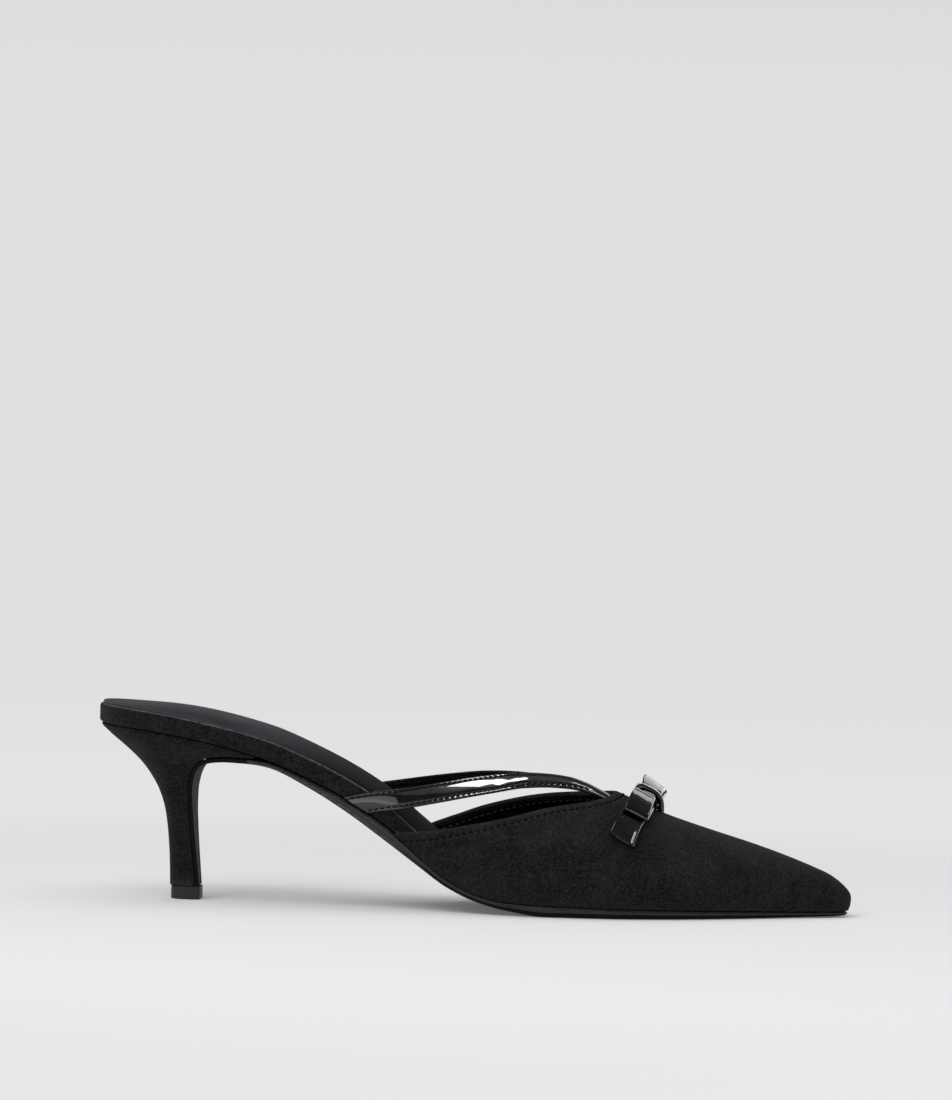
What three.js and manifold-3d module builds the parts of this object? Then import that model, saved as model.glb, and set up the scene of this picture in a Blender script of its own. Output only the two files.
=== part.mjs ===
// Backless heeled pump for the right foot, with a forked instep strap and a flat bow.
// Millimetres. +X runs to the toe, +Y to the inner side of the foot, +Z up from the ground.
// Stations are lengths from the heel's back. Side is -1 on the outer side and 1 on the inner side.

import * as THREE from "three";
import { mergeVertices } from "three/addons/utils/BufferGeometryUtils.js";
import Module from "manifold-3d";

const wasm = await Module();
wasm.setup();

// Whole shoe
const shoeLength = 250;
const seam = 0.3;

// Insole board, which has the shape of the last's bottom
const boardTip = 247.3;
const seatDepth = 35;
const seatSquareness = 2.2;
const tipDepth = 5;

// Upper
const upperWall = 1.6;
const widestShare = 0.84;
const spineEnd = 241;
const ridgeSoftness = 0.14;
const outerCorner = 101;
const innerCorner = 104;
const throat = 172;

// Sock
const sockInset = 1.1;
const sockEdge = 0.6;
const sockCrown = 1.9;
const sockFront = 238;

// Heel and sole
const heelLevels = 14;
const heelCorner = 0.7;
const topPieceHeight = 4.3;
const soleGap = 0.4;
const soleBevel = 0.8;
const soleJoin = 57.5;
const waistReach = -0.3;
const frontReach = 1.5;
const flapThickness = 1.3;
const flapStart = 11.6;

// Straps and bow
const strapThickness = 1.2;
const forkFold = 7;
const strapEnd = 13;
const strapLap = 0.4;
const strapArch = 0.5;
const innerStrapRise = 1;
const ribbonWidth = 6;
const ribbonThickness = 0.8;
const bowStation = 182.4;
const bowTurn = 0.14;
const loopStart = 0.4;
const loopReach = 18;
const loopFall = 0.094;
const loopLift = 1.4;
const loopPinch = 1.05;
const loopHalf = 1.25;
const innerLoopSpring = 0.365;
const springCurve = 1.2;
const innerLoopTwist = 0.023;
const tailReach = 29;
const tailFall = 0.127;
const knotWidth = 6.4;
const knotLength = 9.9;
const knotHeight = 5.6;

// Heights of the sole's seam and thickness of the insole board at its edge
const bottom = columns(["station", "feather", "board", "tread"], [
  [0, 58.2, 6.3, 56.0],
  [20, 56.3, 6.2, 54.0],
  [40, 52.8, 6.2, 50.0],
  [57, 48.2, 6.5, 46.4],
  [70, 42.9, 6.7, 40.0],
  [84, 36.1, 6.8, 31.6],
  [97, 28.0, 6.9, 22.6],
  [108, 19.0, 6.8, 14.8],
  [118, 11.3, 6.4, 8.2],
  [128, 6.6, 5.8, 3.9],
  [138, 4.6, 5.2, 1.5],
  [150, 4.1, 4.6, 0],
  [185, 3.5, 4, 0],
  [214, 2.9, 3.6, 0],
  [232, 2.4, 3.2, 0.2],
  [250, 2.2, 3, 0.6],
]);

// Half widths of the insole board on the outer and the inner side
const plan = columns(["station", "outer", "inner"], [
  [0, 26, 26],
  [35, 26, 26],
  [60, 25.2, 24.4],
  [80, 24.2, 21.4],
  [100, 25.2, 20.2],
  [120, 28.6, 23.2],
  [140, 33, 29.6],
  [155, 35, 33.8],
  [170, 34.6, 35.4],
  [185, 31.2, 34.4],
  [200, 25, 30.2],
  [215, 16.8, 23.2],
  [230, 8, 14.2],
  [240, 2.7, 8.5],
  [247.5, -0.6, 5],
]);

// Outside of the upper: height of its ridge, and how its sides stand out and fill
const upper = columns(["station", "ridge", "widest", "bulge", "fullness"], [
  [80, 56, 7, 0.6, 1.9],
  [100, 51.5, 8, 1, 1.85],
  [120, 47.6, 9, 2, 1.72],
  [135, 45.8, 9, 2.4, 1.58],
  [148, 45.1, 8.5, 2.4, 1.5],
  [155, 44.4, 8, 2.4, 1.48],
  [162, 42.8, 8, 2.3, 1.48],
  [168, 41, 8, 2.2, 1.5],
  [172, 39.4, 7.5, 2.1, 1.52],
  [177, 37.4, 7, 2, 1.56],
  [183, 34.7, 7, 1.8, 1.62],
  [188, 32.6, 6.5, 1.7, 1.66],
  [195, 30.2, 6, 1.6, 1.72],
  [206, 26.8, 5.5, 1.3, 1.84],
  [218, 23.2, 5, 1.1, 1.98],
  [229, 19.5, 4.5, 0.9, 2.12],
  [241, 14.8, 4, 0.8, 2.3],
  [250, 10.6, 3.8, 0.8, 2.4],
]);

// Height of the upper's top edge on each side
const topLine = columns(["station", "outer", "inner"], [
  [101, 25.6, 24.4],
  [104, 25.4, 23.3],
  [109, 25.7, 24.9],
  [118, 27.1, 28.4],
  [127, 28.9, 31.8],
  [135, 30.6, 34.2],
  [143, 32.7, 36.1],
  [150, 34.6, 37.2],
  [156, 35.7, 37.8],
  [162, 36.6, 38.3],
  [168, 37.8, 38.9],
  [172, 39.4, 39.4],
]);

// One arm of the forked strap: the edges of its outer face, with their distance from the centre line
const strapArm = columns(["fold", "topStation", "topSide", "topHeight", "lowStation", "lowSide", "lowHeight"], [
  [0, 83.2, 24.3, 36.9, 91.8, 24, 31.7],
  [1, 91.5, 24, 38.7, 96.5, 24.3, 32.4],
  [2, 99.3, 22.8, 39.8, 102, 24.5, 33.2],
  [3, 107, 20.3, 41, 108.5, 23.3, 34.5],
  [4, 116, 16.3, 42.5, 117, 20.4, 36.2],
  [5, 127, 9.9, 44.2, 127.6, 15, 38.2],
  [6, 136, 3.9, 45, 136.8, 9.4, 39.6],
  [7, 143, 0, 45.1, 143.5, 6.1, 40.3],
  [8, 149, 0, 44.9, 149.4, 5.7, 40.6],
  [9, 156, 0, 44, 156, 5.4, 40.4],
  [10, 162, 0, 42.1, 162, 5.2, 39.5],
  [11, 167, 0, 39.7, 167, 5.1, 37.9],
  [12, 172, 0, 37.1, 172, 5.1, 36],
  [13, 177, 0, 35.1, 177, 5.1, 34],
]);

// Heel sections from the ground up: back and breast edge, and half width at the breast
const heelSections = columns(["level", "backStation", "backHeight", "breastStation", "breastHeight", "half"], [
  [0, 24.5, 4.6, 33, 4.6, 5],
  [1, 24.3, 11, 32.4, 11, 5.6],
  [2, 23.9, 18, 31.7, 18, 6.6],
  [3, 23.2, 25, 31.1, 24.8, 7.9],
  [4, 22.1, 31, 30.7, 30.6, 9.4],
  [5, 20.2, 36.4, 30.6, 35.8, 11.3],
  [6, 17.6, 41, 31.2, 40.6, 13.6],
  [7, 14.4, 45.2, 32.8, 44.6, 16.4],
  [8, 10.9, 48.6, 35.6, 46.9, 19.2],
  [9, 7.6, 51.4, 39.6, 48.1, 21.6],
  [10, 4.7, 53.7, 44.4, 48.5, 23.3],
  [11, 2.5, 55.6, 49.2, 48.3, 24.3],
  [12, 0.9, 57.1, 52.8, 48.2, 24.8],
  [13, 0.6, 57.9, 54.4, 48.6, 25],
]);

// Slopes that keep a curve through the values free of overshoot
function calmSlopes(stations, values) {
  const last = stations.length - 1;
  const steps = [];
  for (let i = 0; i < last; i += 1) {
    steps.push((values[i + 1] - values[i]) / (stations[i + 1] - stations[i]));
  }
  return stations.map((station, i) => {
    const before = steps[Math.max(0, i - 1)];
    const after = steps[Math.min(last - 1, i)];
    return before * after <= 0 ? 0 : (2 * before * after) / (before + after);
  });
}

function along(stations, values, slopes, at) {
  const last = stations.length - 1;
  const x = Math.min(Math.max(at, stations[0]), stations[last]);
  let i = 0;
  while (i < last - 1 && x > stations[i + 1]) {
    i += 1;
  }
  const width = stations[i + 1] - stations[i];
  const t = (x - stations[i]) / width;
  const ease = t * t * (3 - 2 * t);
  const lift = width * t * (1 - t) * ((1 - t) * slopes[i] - t * slopes[i + 1]);
  return values[i] + (values[i + 1] - values[i]) * ease + lift;
}

// Each named column of a table as a smooth function of the first one
function columns(names, rows) {
  const stations = rows.map((row) => row[0]);
  const result = {};
  names.slice(1).forEach((name, index) => {
    const values = rows.map((row) => row[index + 1]);
    const slopes = calmSlopes(stations, values);
    result[name] = (at) => along(stations, values, slopes, at);
  });
  return result;
}

function mix(a, b, share) {
  return a + (b - a) * share;
}

function place(station, y, z) {
  return new THREE.Vector3(station - shoeLength / 2, y, z);
}

// Evenly shared numbers from low to high
function spread(low, high, count) {
  return Array.from({ length: count + 1 }, (unused, i) => mix(low, high, i / count));
}

function centreLine(station) {
  return (plan.inner(station) - plan.outer(station)) / 2;
}

function boardEdge(side, station) {
  const back = Math.max(0, 1 - station / seatDepth);
  const front = Math.max(0, 1 - (boardTip - station) / tipDepth);
  const full = (plan.inner(station) + plan.outer(station)) / 2;
  const half = full * Math.sqrt(1 - back ** seatSquareness) * Math.sqrt(1 - front ** 2);
  return centreLine(station) + side * half;
}

// Round the board: turn 0 is the heel's back, 1 the tip, and 2 the back again along the inner side
function boardLoop(turn) {
  const wrapped = ((turn % 2) + 2) % 2;
  const side = wrapped <= 1 ? -1 : 1;
  const share = wrapped <= 1 ? wrapped : 2 - wrapped;
  const station = (boardTip * (1 - Math.cos(Math.PI * share))) / 2;
  return [station, boardEdge(side, station)];
}

function boardOffset(turn, distance) {
  const step = 1e-4;
  const [behindStation, behindY] = boardLoop(turn - step);
  const [aheadStation, aheadY] = boardLoop(turn + step);
  const [station, y] = boardLoop(turn);
  const run = Math.hypot(aheadStation - behindStation, aheadY - behindY);
  const outX = (aheadY - behindY) / run;
  const outY = (behindStation - aheadStation) / run;
  return [station + distance * outX, y + distance * outY];
}

function turnAt(side, station) {
  const share = Math.acos(1 - (2 * station) / boardTip) / Math.PI;
  return side < 0 ? share : 2 - share;
}

// Height of a section over its widest line, for a reach from 0 at the ridge to 1 at the side
function sectionRise(reach, fullness) {
  const soft = ridgeSoftness ** fullness;
  const spreadOut = (reach ** 2 + ridgeSoftness ** 2) ** (fullness / 2) - soft;
  const whole = (1 + ridgeSoftness ** 2) ** (fullness / 2) - soft;
  return Math.max(0, 1 - spreadOut / whole) ** (1 / fullness);
}

// A point of the upper: around is 0 on the ridge and 1 at the seam, depth goes in from the outside
function upperPoint(turn, around, depth) {
  const [station] = boardLoop(turn);
  const bulge = upper.bulge(station);
  const grow = seam + upperWall + bulge - depth;
  const low = bottom.feather(station) + upper.widest(station);
  if (around > widestShare) {
    const drop = (around - widestShare) / (1 - widestShare);
    const [x, y] = boardOffset(turn, grow - bulge * drop ** 2);
    return place(x, y, mix(low, bottom.feather(x) + seam / 2, drop));
  }
  const fullness = upper.fullness(station);
  const reach = Math.sin(((around / widestShare) * Math.PI) / 2) ** (2 / fullness);
  const spine = Math.min(station, spineEnd);
  const [edgeX, edgeY] = boardOffset(turn, grow);
  const x = mix(spine, edgeX, reach);
  const y = mix(centreLine(spine), edgeY, reach);
  const rise = (upper.ridge(x) - depth - low) * sectionRise(reach, fullness);
  return place(x, y, low + rise);
}

// Where round a section the upper's outside has the height asked for
function aroundAt(turn, height, depth) {
  let above = 0;
  let below = 1;
  for (let i = 0; i < 40; i += 1) {
    const middle = (above + below) / 2;
    if (upperPoint(turn, middle, depth).z > height) {
      above = middle;
    } else {
      below = middle;
    }
  }
  return (above + below) / 2;
}

// A point over the upper at a station, a distance to the side and a lift off its outside
function overUpper(station, sideways, lift) {
  const side = sideways < 0 ? -1 : 1;
  const half = side * (boardEdge(side, station) - centreLine(station)) + seam + upperWall;
  const reach = Math.min(1, Math.abs(sideways) / (half + upper.bulge(station)));
  const angle = Math.asin(reach ** (upper.fullness(station) / 2));
  const around = ((angle * 2) / Math.PI) * widestShare;
  return upperPoint(turnAt(side, station), around, -lift);
}

// Triangles between rows of points, two for each cell
function quadRows(rows, closedAcross, triangles) {
  for (let i = 0; i + 1 < rows.length; i += 1) {
    const across = rows[i].length;
    const cells = closedAcross ? across : across - 1;
    for (let j = 0; j < cells; j += 1) {
      const next = (j + 1) % across;
      triangles.push([rows[i][j], rows[i + 1][j], rows[i + 1][next]]);
      triangles.push([rows[i][j], rows[i + 1][next], rows[i][next]]);
    }
  }
}

// A closed body from triangles of points, with its shared points merged and its faces outward
function body(triangles) {
  const soup = new THREE.BufferGeometry().setFromPoints(triangles.flat());
  const merged = mergeVertices(soup, 1e-3);
  const index = merged.getIndex().array;
  const kept = [];
  for (let i = 0; i < index.length; i += 3) {
    const [a, b, c] = [index[i], index[i + 1], index[i + 2]];
    if (a !== b && b !== c && c !== a) {
      kept.push(a, b, c);
    }
  }
  const position = merged.getAttribute("position");
  const corner = (i) => new THREE.Vector3().fromBufferAttribute(position, i);
  let volume = 0;
  for (let i = 0; i < kept.length; i += 3) {
    volume += corner(kept[i]).dot(corner(kept[i + 1]).cross(corner(kept[i + 2])));
  }
  merged.setIndex(volume < 0 ? kept.reverse() : kept);
  return merged;
}

function capRing(ring, triangles) {
  const middle = ring.reduce((sum, point) => sum.add(point), new THREE.Vector3());
  middle.divideScalar(ring.length);
  ring.forEach((point, i) => triangles.push([middle, point, ring[(i + 1) % ring.length]]));
}

// A ring that has come together in one upright line needs no face over it
function isOpenRing(ring) {
  const [first] = ring;
  return ring.some((point) => Math.hypot(point.x - first.x, point.y - first.y) > 0.01);
}

// A body through rings of points, with a face over its first and last ring
function loft(rings) {
  const last = [...rings[rings.length - 1]].reverse();
  const triangles = [];
  quadRows(rings, true, triangles);
  [rings[0], last].filter(isOpenRing).forEach((ring) => capRing(ring, triangles));
  return body(triangles);
}

function toManifold(geometry) {
  const mesh = new wasm.Mesh({
    numProp: 3,
    vertProperties: new Float32Array(geometry.getAttribute("position").array),
    triVerts: new Uint32Array(geometry.getIndex().array),
  });
  return new wasm.Manifold(mesh);
}

function fromManifold(solid) {
  const mesh = solid.getMesh();
  const geometry = new THREE.BufferGeometry();
  geometry.setAttribute("position", new THREE.BufferAttribute(new Float32Array(mesh.vertProperties), 3));
  geometry.setIndex(new THREE.BufferAttribute(new Uint32Array(mesh.triVerts), 1));
  return geometry;
}

// Rings across the board between two turns, each from edge to edge below and back above
function boardRings(turns, reach, across, lowHeight, highHeight) {
  return turns.map((turn) => {
    const [outerX, outerY] = boardOffset(turn, reach);
    const [innerX, innerY] = boardOffset(2 - turn, reach);
    const row = (share, height) => {
      const x = mix(outerX, innerX, share);
      return place(x, mix(outerY, innerY, share), height(x, 2 * share - 1));
    };
    const under = spread(0, 1, across).map((share) => row(share, lowHeight));
    const over = spread(1, 0, across).map((share) => row(share, highHeight));
    return [...under, ...over];
  });
}

function boardUnderside(station) {
  return bottom.feather(station) + seam / 2;
}

function boardTop(station) {
  return boardUnderside(station) + bottom.board(station);
}

function insoleGeometry() {
  return loft(boardRings(spread(0, 1, 46), 0, 4, boardUnderside, boardTop));
}

// The padded sock has an even edge, and a crown that fades towards the toe
function sockGeometry() {
  const low = (station) => boardTop(station) + seam;
  const high = (station, across) => {
    const front = 1 - 0.6 * THREE.MathUtils.smoothstep(station, 120, 170);
    const back = THREE.MathUtils.smoothstep(station, 0, 40);
    return low(station) + sockEdge + sockCrown * front * back * (1 - Math.abs(across) ** 3);
  };
  const turns = spread(0, turnAt(-1, sockFront), 40);
  return loft(boardRings(turns, -sockInset, 10, low, high));
}

// One side of the upper as rows from its top edge or ridge down to the seam, from rear corner to toe
function upperRows(side, depth) {
  const corner = side < 0 ? outerCorner : innerCorner;
  const edge = side < 0 ? topLine.outer : topLine.inner;
  const behind = spread(0, 1, 15).map((share) => mix(corner, throat, Math.sin((share * Math.PI) / 2) ** 0.9));
  const ahead = spread(throat, spineEnd, 14).slice(1);
  const openTurns = behind.slice(0, -1).map((station) => turnAt(side, station));
  const closedTurns = [throat, ...ahead].map((station) => turnAt(side, station));
  const noseTurns = spread(turnAt(side, spineEnd), 1, 6).slice(1);
  const open = openTurns.map((turn) => {
    const start = aroundAt(turn, edge(boardLoop(turn)[0]), 0);
    return spread(start, 1, 12).map((around) => upperPoint(turn, around, depth));
  });
  const closed = [...closedTurns, ...noseTurns].map((turn) => {
    return spread(0, 1, 12).map((around) => upperPoint(turn, around, depth));
  });
  return { open, closed };
}

// The vamp's outer and inner face, joined along the top edge and along the seam with the sole
function vampGeometry() {
  const faces = [0, upperWall].map((depth) => {
    const outer = upperRows(-1, depth);
    const inner = upperRows(1, depth);
    const there = [...outer.open, ...outer.closed];
    const back = [...inner.open, ...inner.closed].reverse();
    return { rows: [...there, ...back.slice(1)], open: outer.open.length };
  });
  const [outside, inside] = faces.map((face) => face.rows);
  const open = faces[0].open;
  const last = outside.length - 1;
  const foot = outside[0].length - 1;
  const rim = outside.map((row, i) => [inside[i][0], row[0]]);
  const triangles = [];
  quadRows(outside, false, triangles);
  quadRows(inside.map((row) => [...row].reverse()), false, triangles);
  quadRows(outside.map((row, i) => [row[foot], inside[i][foot]]), false, triangles);
  quadRows(rim.slice(0, open + 1), false, triangles);
  quadRows(rim.slice(last - open), false, triangles);
  quadRows([inside[0], outside[0]], false, triangles);
  quadRows([outside[last], inside[last]], false, triangles);
  return body(triangles);
}

function heelPoint(level, share, y) {
  const topLevel = heelLevels - 1;
  const topStation = mix(heelSections.backStation(topLevel), heelSections.breastStation(topLevel), share);
  const topChord = mix(heelSections.backHeight(topLevel), heelSections.breastHeight(topLevel), share);
  const seatArch = bottom.feather(topStation) - seam / 2 - topChord;
  const station = mix(heelSections.backStation(level), heelSections.breastStation(level), share);
  const height = mix(heelSections.backHeight(level), heelSections.breastHeight(level), share);
  return place(station, y, height + seatArch * (level / topLevel) ** 3);
}

// The heel block, rounded behind and flat at the breast
function heelGeometry() {
  const rings = spread(0, heelLevels - 1, 26).map((level) => {
    const half = heelSections.half(level);
    const roundShare = mix(0.52, 0.645, level / (heelLevels - 1));
    const back = spread(-0.5, 0.5, 22).map((quarter) => {
      const angle = quarter * Math.PI;
      const share = roundShare * (1 - Math.cos(angle) ** (2 / seatSquareness));
      return heelPoint(level, Math.max(0, share), half * Math.sin(angle));
    });
    const breast = [1, 0.5, 0, -0.5, -1].map((across) => {
      const corner = Math.abs(across) === 1;
      return heelPoint(level, 1, across * half - (corner ? Math.sign(across) * heelCorner : 0));
    });
    const shoulders = [1, -1].map((sign) => heelPoint(level, 1 - heelCorner / 10, sign * half));
    return [...back, shoulders[0], ...breast, shoulders[1]];
  });
  return loft(rings);
}

function soleTop(station) {
  return bottom.feather(station) - soleGap;
}

// How far the sole stands out from the board: level with the band behind, under the upper in front
function soleReach(station) {
  return mix(waistReach, frontReach, THREE.MathUtils.smoothstep(station, 100, 125));
}

function soleRing(turn) {
  const station = boardLoop(turn)[0];
  const reach = soleReach(station);
  const corner = (loopTurn, inset, height) => {
    const [x, y] = boardOffset(loopTurn, reach - inset);
    return place(x, y, height(x));
  };
  const bevelTop = (x) => bottom.tread(x) + soleBevel;
  return [
    corner(turn, 0, soleTop),
    corner(turn, 0, bevelTop),
    corner(turn, soleBevel, bottom.tread),
    corner(2 - turn, soleBevel, bottom.tread),
    corner(2 - turn, 0, bevelTop),
    corner(2 - turn, 0, soleTop),
  ];
}

// The sole's tail, which runs over the heel's front and down its breast as a thin flap
function flapRing(level) {
  const step = 0.02;
  const at = (where) => [heelSections.breastStation(where), heelSections.breastHeight(where)];
  const [lowX, lowZ] = at(Math.max(0, level - step));
  const [highX, highZ] = at(level + step);
  const run = Math.hypot(highX - lowX, highZ - lowZ);
  const out = [(highZ - lowZ) / run, -(highX - lowX) / run];
  const [x, z] = at(level);
  const half = heelSections.half(level);
  const corner = (off, y) => place(x + off * out[0], y, z + off * out[1]);
  const face = seam + flapThickness;
  return [
    corner(seam, -half),
    corner(face - soleBevel / 2, -half),
    corner(face, soleBevel / 2 - half),
    corner(face, half - soleBevel / 2),
    corner(face - soleBevel / 2, half),
    corner(seam, half),
  ];
}

function outsoleGeometry() {
  const front = spread(1, turnAt(-1, soleJoin), 44).map(soleRing);
  const flap = spread(flapStart, 0, 26).map(flapRing);
  return loft([...front, ...flap]);
}

function topPieceGeometry() {
  const backStation = heelSections.backStation(0) + 0.4;
  const frontStation = heelSections.breastStation(0) + seam + flapThickness + 0.3;
  const half = heelSections.half(0) + 0.2;
  const shape = new THREE.Shape();
  const round = new THREE.Vector2(backStation + half - shoeLength / 2, 0);
  shape.moveTo(frontStation - shoeLength / 2, -half);
  shape.lineTo(frontStation - shoeLength / 2, half);
  shape.lineTo(round.x, half);
  shape.absarc(round.x, 0, half, Math.PI / 2, (3 * Math.PI) / 2, false);
  const geometry = new THREE.ExtrudeGeometry(shape, {
    depth: topPieceHeight,
    bevelEnabled: false,
    curveSegments: 16,
  });
  geometry.deleteAttribute("normal");
  geometry.deleteAttribute("uv");
  return mergeVertices(geometry, 1e-3);
}

// The edges of one arm's outer face at a fold
function strapEdges(side, fold) {
  const rise = side > 0 ? innerStrapRise * Math.sin(Math.PI * Math.min(1, fold / forkFold)) : 0;
  const lap = strapLap * THREE.MathUtils.smoothstep(fold, forkFold - 1, forkFold);
  const edge = (station, away, height) => place(station, centreLine(station) + side * away, height + rise);
  return [
    edge(strapArm.topStation(fold), strapArm.topSide(fold) - lap, strapArm.topHeight(fold)),
    edge(strapArm.lowStation(fold), strapArm.lowSide(fold), strapArm.lowHeight(fold)),
  ];
}

// A cross section of one arm, gently arched from its upper to its lower edge
function strapRing(side, fold) {
  const step = 0.05;
  const [top, low] = strapEdges(side, fold);
  const middle = top.clone().lerp(low, 0.5);
  const [nextTop, nextLow] = strapEdges(side, fold + step);
  const [lastTop, lastLow] = strapEdges(side, fold - step);
  const run = nextTop.add(nextLow).sub(lastTop).sub(lastLow);
  const out = top.clone().sub(low).cross(run).normalize().multiplyScalar(side);
  middle.addScaledVector(out, strapArch);
  const inside = [low, middle, top].map((point) => point.clone().addScaledVector(out, -strapThickness));
  return [top, middle, low, ...inside];
}

// Both arms of the strap, joined where they meet over the instep
function strapGeometry() {
  const arms = [-1, 1].map((side) => {
    return loft(spread(0, strapEnd, 39).map((fold) => strapRing(side, fold)));
  });
  return fromManifold(toManifold(arms[0]).add(toManifold(arms[1])));
}

// A point of the bow: the ribbon's ends are turned, and fall back towards the heel, but stay square
function bowPoint(edge, sideways, lift, fall) {
  const free = Math.max(0, Math.abs(sideways) - knotWidth / 2);
  const station = bowStation + edge + bowTurn * sideways - fall * free;
  const turn = bowTurn - Math.sign(sideways) * fall;
  return overUpper(station, sideways - turn * edge, lift);
}

// A bow loop: the ribbon's section carried round a closed flat path, pinched at the knot
function loopGeometry(side) {
  const count = 28;
  const power = (value, exponent) => Math.sign(value) * Math.abs(value) ** exponent;
  const reachMiddle = (loopReach + loopStart) / 2;
  const rings = spread(0, 2 * Math.PI, count).map((angle) => {
    const point = (inset, edge) => {
      const reachHalf = (loopReach - loopStart) / 2 - inset;
      const reach = reachMiddle + reachHalf * power(Math.cos(angle), 0.55);
      const half = mix(loopPinch, loopHalf, THREE.MathUtils.smoothstep(reach, knotWidth / 2, 7));
      const free = Math.max(0, reach - knotWidth / 2);
      const lift = loopLift + half + (half - inset) * power(Math.sin(angle), 0.65);
      const spot = bowPoint(edge, side * reach, lift, loopFall);
      const spring = innerLoopSpring * free ** springCurve - innerLoopTwist * free * edge;
      spot.z += side > 0 ? spring : 0;
      return spot;
    };
    const half = ribbonWidth / 2;
    return [
      point(0, -half),
      point(0, half),
      point(ribbonThickness, half),
      point(ribbonThickness, -half),
    ];
  });
  const triangles = [];
  quadRows(rings, true, triangles);
  return body(triangles);
}

// The ribbon that ends in the bow's two tails, lying on the upper
function tailsGeometry() {
  const edge = ribbonWidth / 2;
  const rings = spread(-tailReach, tailReach, 24).map((sideways) => [
    bowPoint(-edge, sideways, seam, tailFall),
    bowPoint(edge, sideways, seam, tailFall),
    bowPoint(edge, sideways, seam + ribbonThickness, tailFall),
    bowPoint(-edge, sideways, seam + ribbonThickness, tailFall),
  ]);
  return loft(rings);
}

// The knot: a band over the loops, down to the upper in front and behind
function knotGeometry() {
  const rings = spread(0, Math.PI, 20).map((angle) => {
    const point = (inset, sideways) => {
      const half = knotLength / 2 - inset;
      const reach = -half * Math.sign(Math.cos(angle)) * Math.abs(Math.cos(angle)) ** 0.7;
      const rise = (knotHeight - seam - inset) * Math.sin(angle) ** 0.55;
      return bowPoint(reach, sideways, seam + rise, 0);
    };
    const edge = knotWidth / 2;
    return [
      point(0, -edge),
      point(0, 0),
      point(0, edge),
      point(ribbonThickness, edge),
      point(ribbonThickness, 0),
      point(ribbonThickness, -edge),
    ];
  });
  return loft(rings);
}

const suede = { color: 0x262525, roughness: 0.95, metalness: 0 };
const lining = { color: 0x34343b, roughness: 0.55, metalness: 0 };
const soling = { color: 0x2d2b2b, roughness: 0.5, metalness: 0 };
const patent = { color: 0x0a0a0b, roughness: 0.08, metalness: 0 };
const heelRubber = { color: 0x3a3b3d, roughness: 0.6, metalness: 0 };

const pieces = [
  ["outsole", outsoleGeometry(), soling],
  ["heel", heelGeometry(), suede],
  ["top_piece", topPieceGeometry(), heelRubber],
  ["insole", insoleGeometry(), suede],
  ["sock", sockGeometry(), lining],
  ["vamp", vampGeometry(), suede],
  ["instep_strap", strapGeometry(), patent],
  ["bow_loop_outer", loopGeometry(-1), patent],
  ["bow_loop_inner", loopGeometry(1), patent],
  ["bow_tails", tailsGeometry(), patent],
  ["bow_knot", knotGeometry(), patent],
];

const pump = new THREE.Group();
pieces.forEach(([name, geometry, finish]) => {
  const mesh = new THREE.Mesh(geometry, new THREE.MeshStandardMaterial(finish));
  mesh.name = name;
  pump.add(mesh);
});

export default pump;
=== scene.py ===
import math

import bmesh
import bpy
import numpy as np
from mathutils import Matrix, Vector
from mathutils.bvhtree import BVHTree


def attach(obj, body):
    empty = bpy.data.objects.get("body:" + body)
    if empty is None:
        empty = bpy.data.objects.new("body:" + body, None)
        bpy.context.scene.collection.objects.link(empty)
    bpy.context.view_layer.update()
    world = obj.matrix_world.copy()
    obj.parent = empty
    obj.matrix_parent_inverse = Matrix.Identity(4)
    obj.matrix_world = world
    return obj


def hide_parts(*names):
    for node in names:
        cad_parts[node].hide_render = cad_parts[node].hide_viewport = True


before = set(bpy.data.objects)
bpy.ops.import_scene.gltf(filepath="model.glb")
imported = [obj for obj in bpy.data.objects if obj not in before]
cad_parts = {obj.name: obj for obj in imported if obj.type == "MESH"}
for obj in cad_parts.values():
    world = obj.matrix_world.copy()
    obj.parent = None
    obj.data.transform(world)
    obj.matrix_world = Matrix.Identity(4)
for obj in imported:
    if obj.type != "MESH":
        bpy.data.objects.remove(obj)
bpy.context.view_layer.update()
print("frame loaded,", len(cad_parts), "nodes")

# Camera where the photograph was taken from
camera = {"azimuth": 3.4, "elevation": 3.8, "roll": 1.42, "distance": 2.2, "target": (0.0, 0.0, 0.035),
          "pixelsPerMm": 3.023, "targetPixel": (474.8, 801.0), "photo": (952, 1100), "sensor": 36.0}


def makeCamera():
    az, el = math.radians(camera["azimuth"]), math.radians(camera["elevation"])
    back = Vector((math.sin(az) * math.cos(el), -math.cos(az) * math.cos(el), math.sin(el)))
    focal = camera["pixelsPerMm"] * camera["distance"] * 1000
    eye = bpy.data.cameras.new("photoCamera")
    eye.sensor_width = camera["sensor"]
    eye.lens = focal / camera["photo"][1] * camera["sensor"]
    holder = bpy.data.objects.new("photoCamera", eye)
    bpy.context.scene.collection.objects.link(holder)
    level = back.to_track_quat("Z", "Y").to_matrix()
    roll = Matrix.Rotation(math.radians(camera["roll"]), 3, "Z")
    across, down = [(camera["targetPixel"][k] - camera["photo"][k] / 2) / focal for k in (0, 1)]
    ray = Vector((across, -down, -1)).normalized()  # towards the target, which is off the middle
    swing = ray.rotation_difference(Vector((0, 0, -1))).to_matrix()
    location = Vector(camera["target"]) + back * camera["distance"]
    holder.matrix_world = Matrix.Translation(location) @ (level @ roll @ swing).to_4x4()
    bpy.context.scene.camera = holder


makeCamera()
print("camera set")

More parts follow.
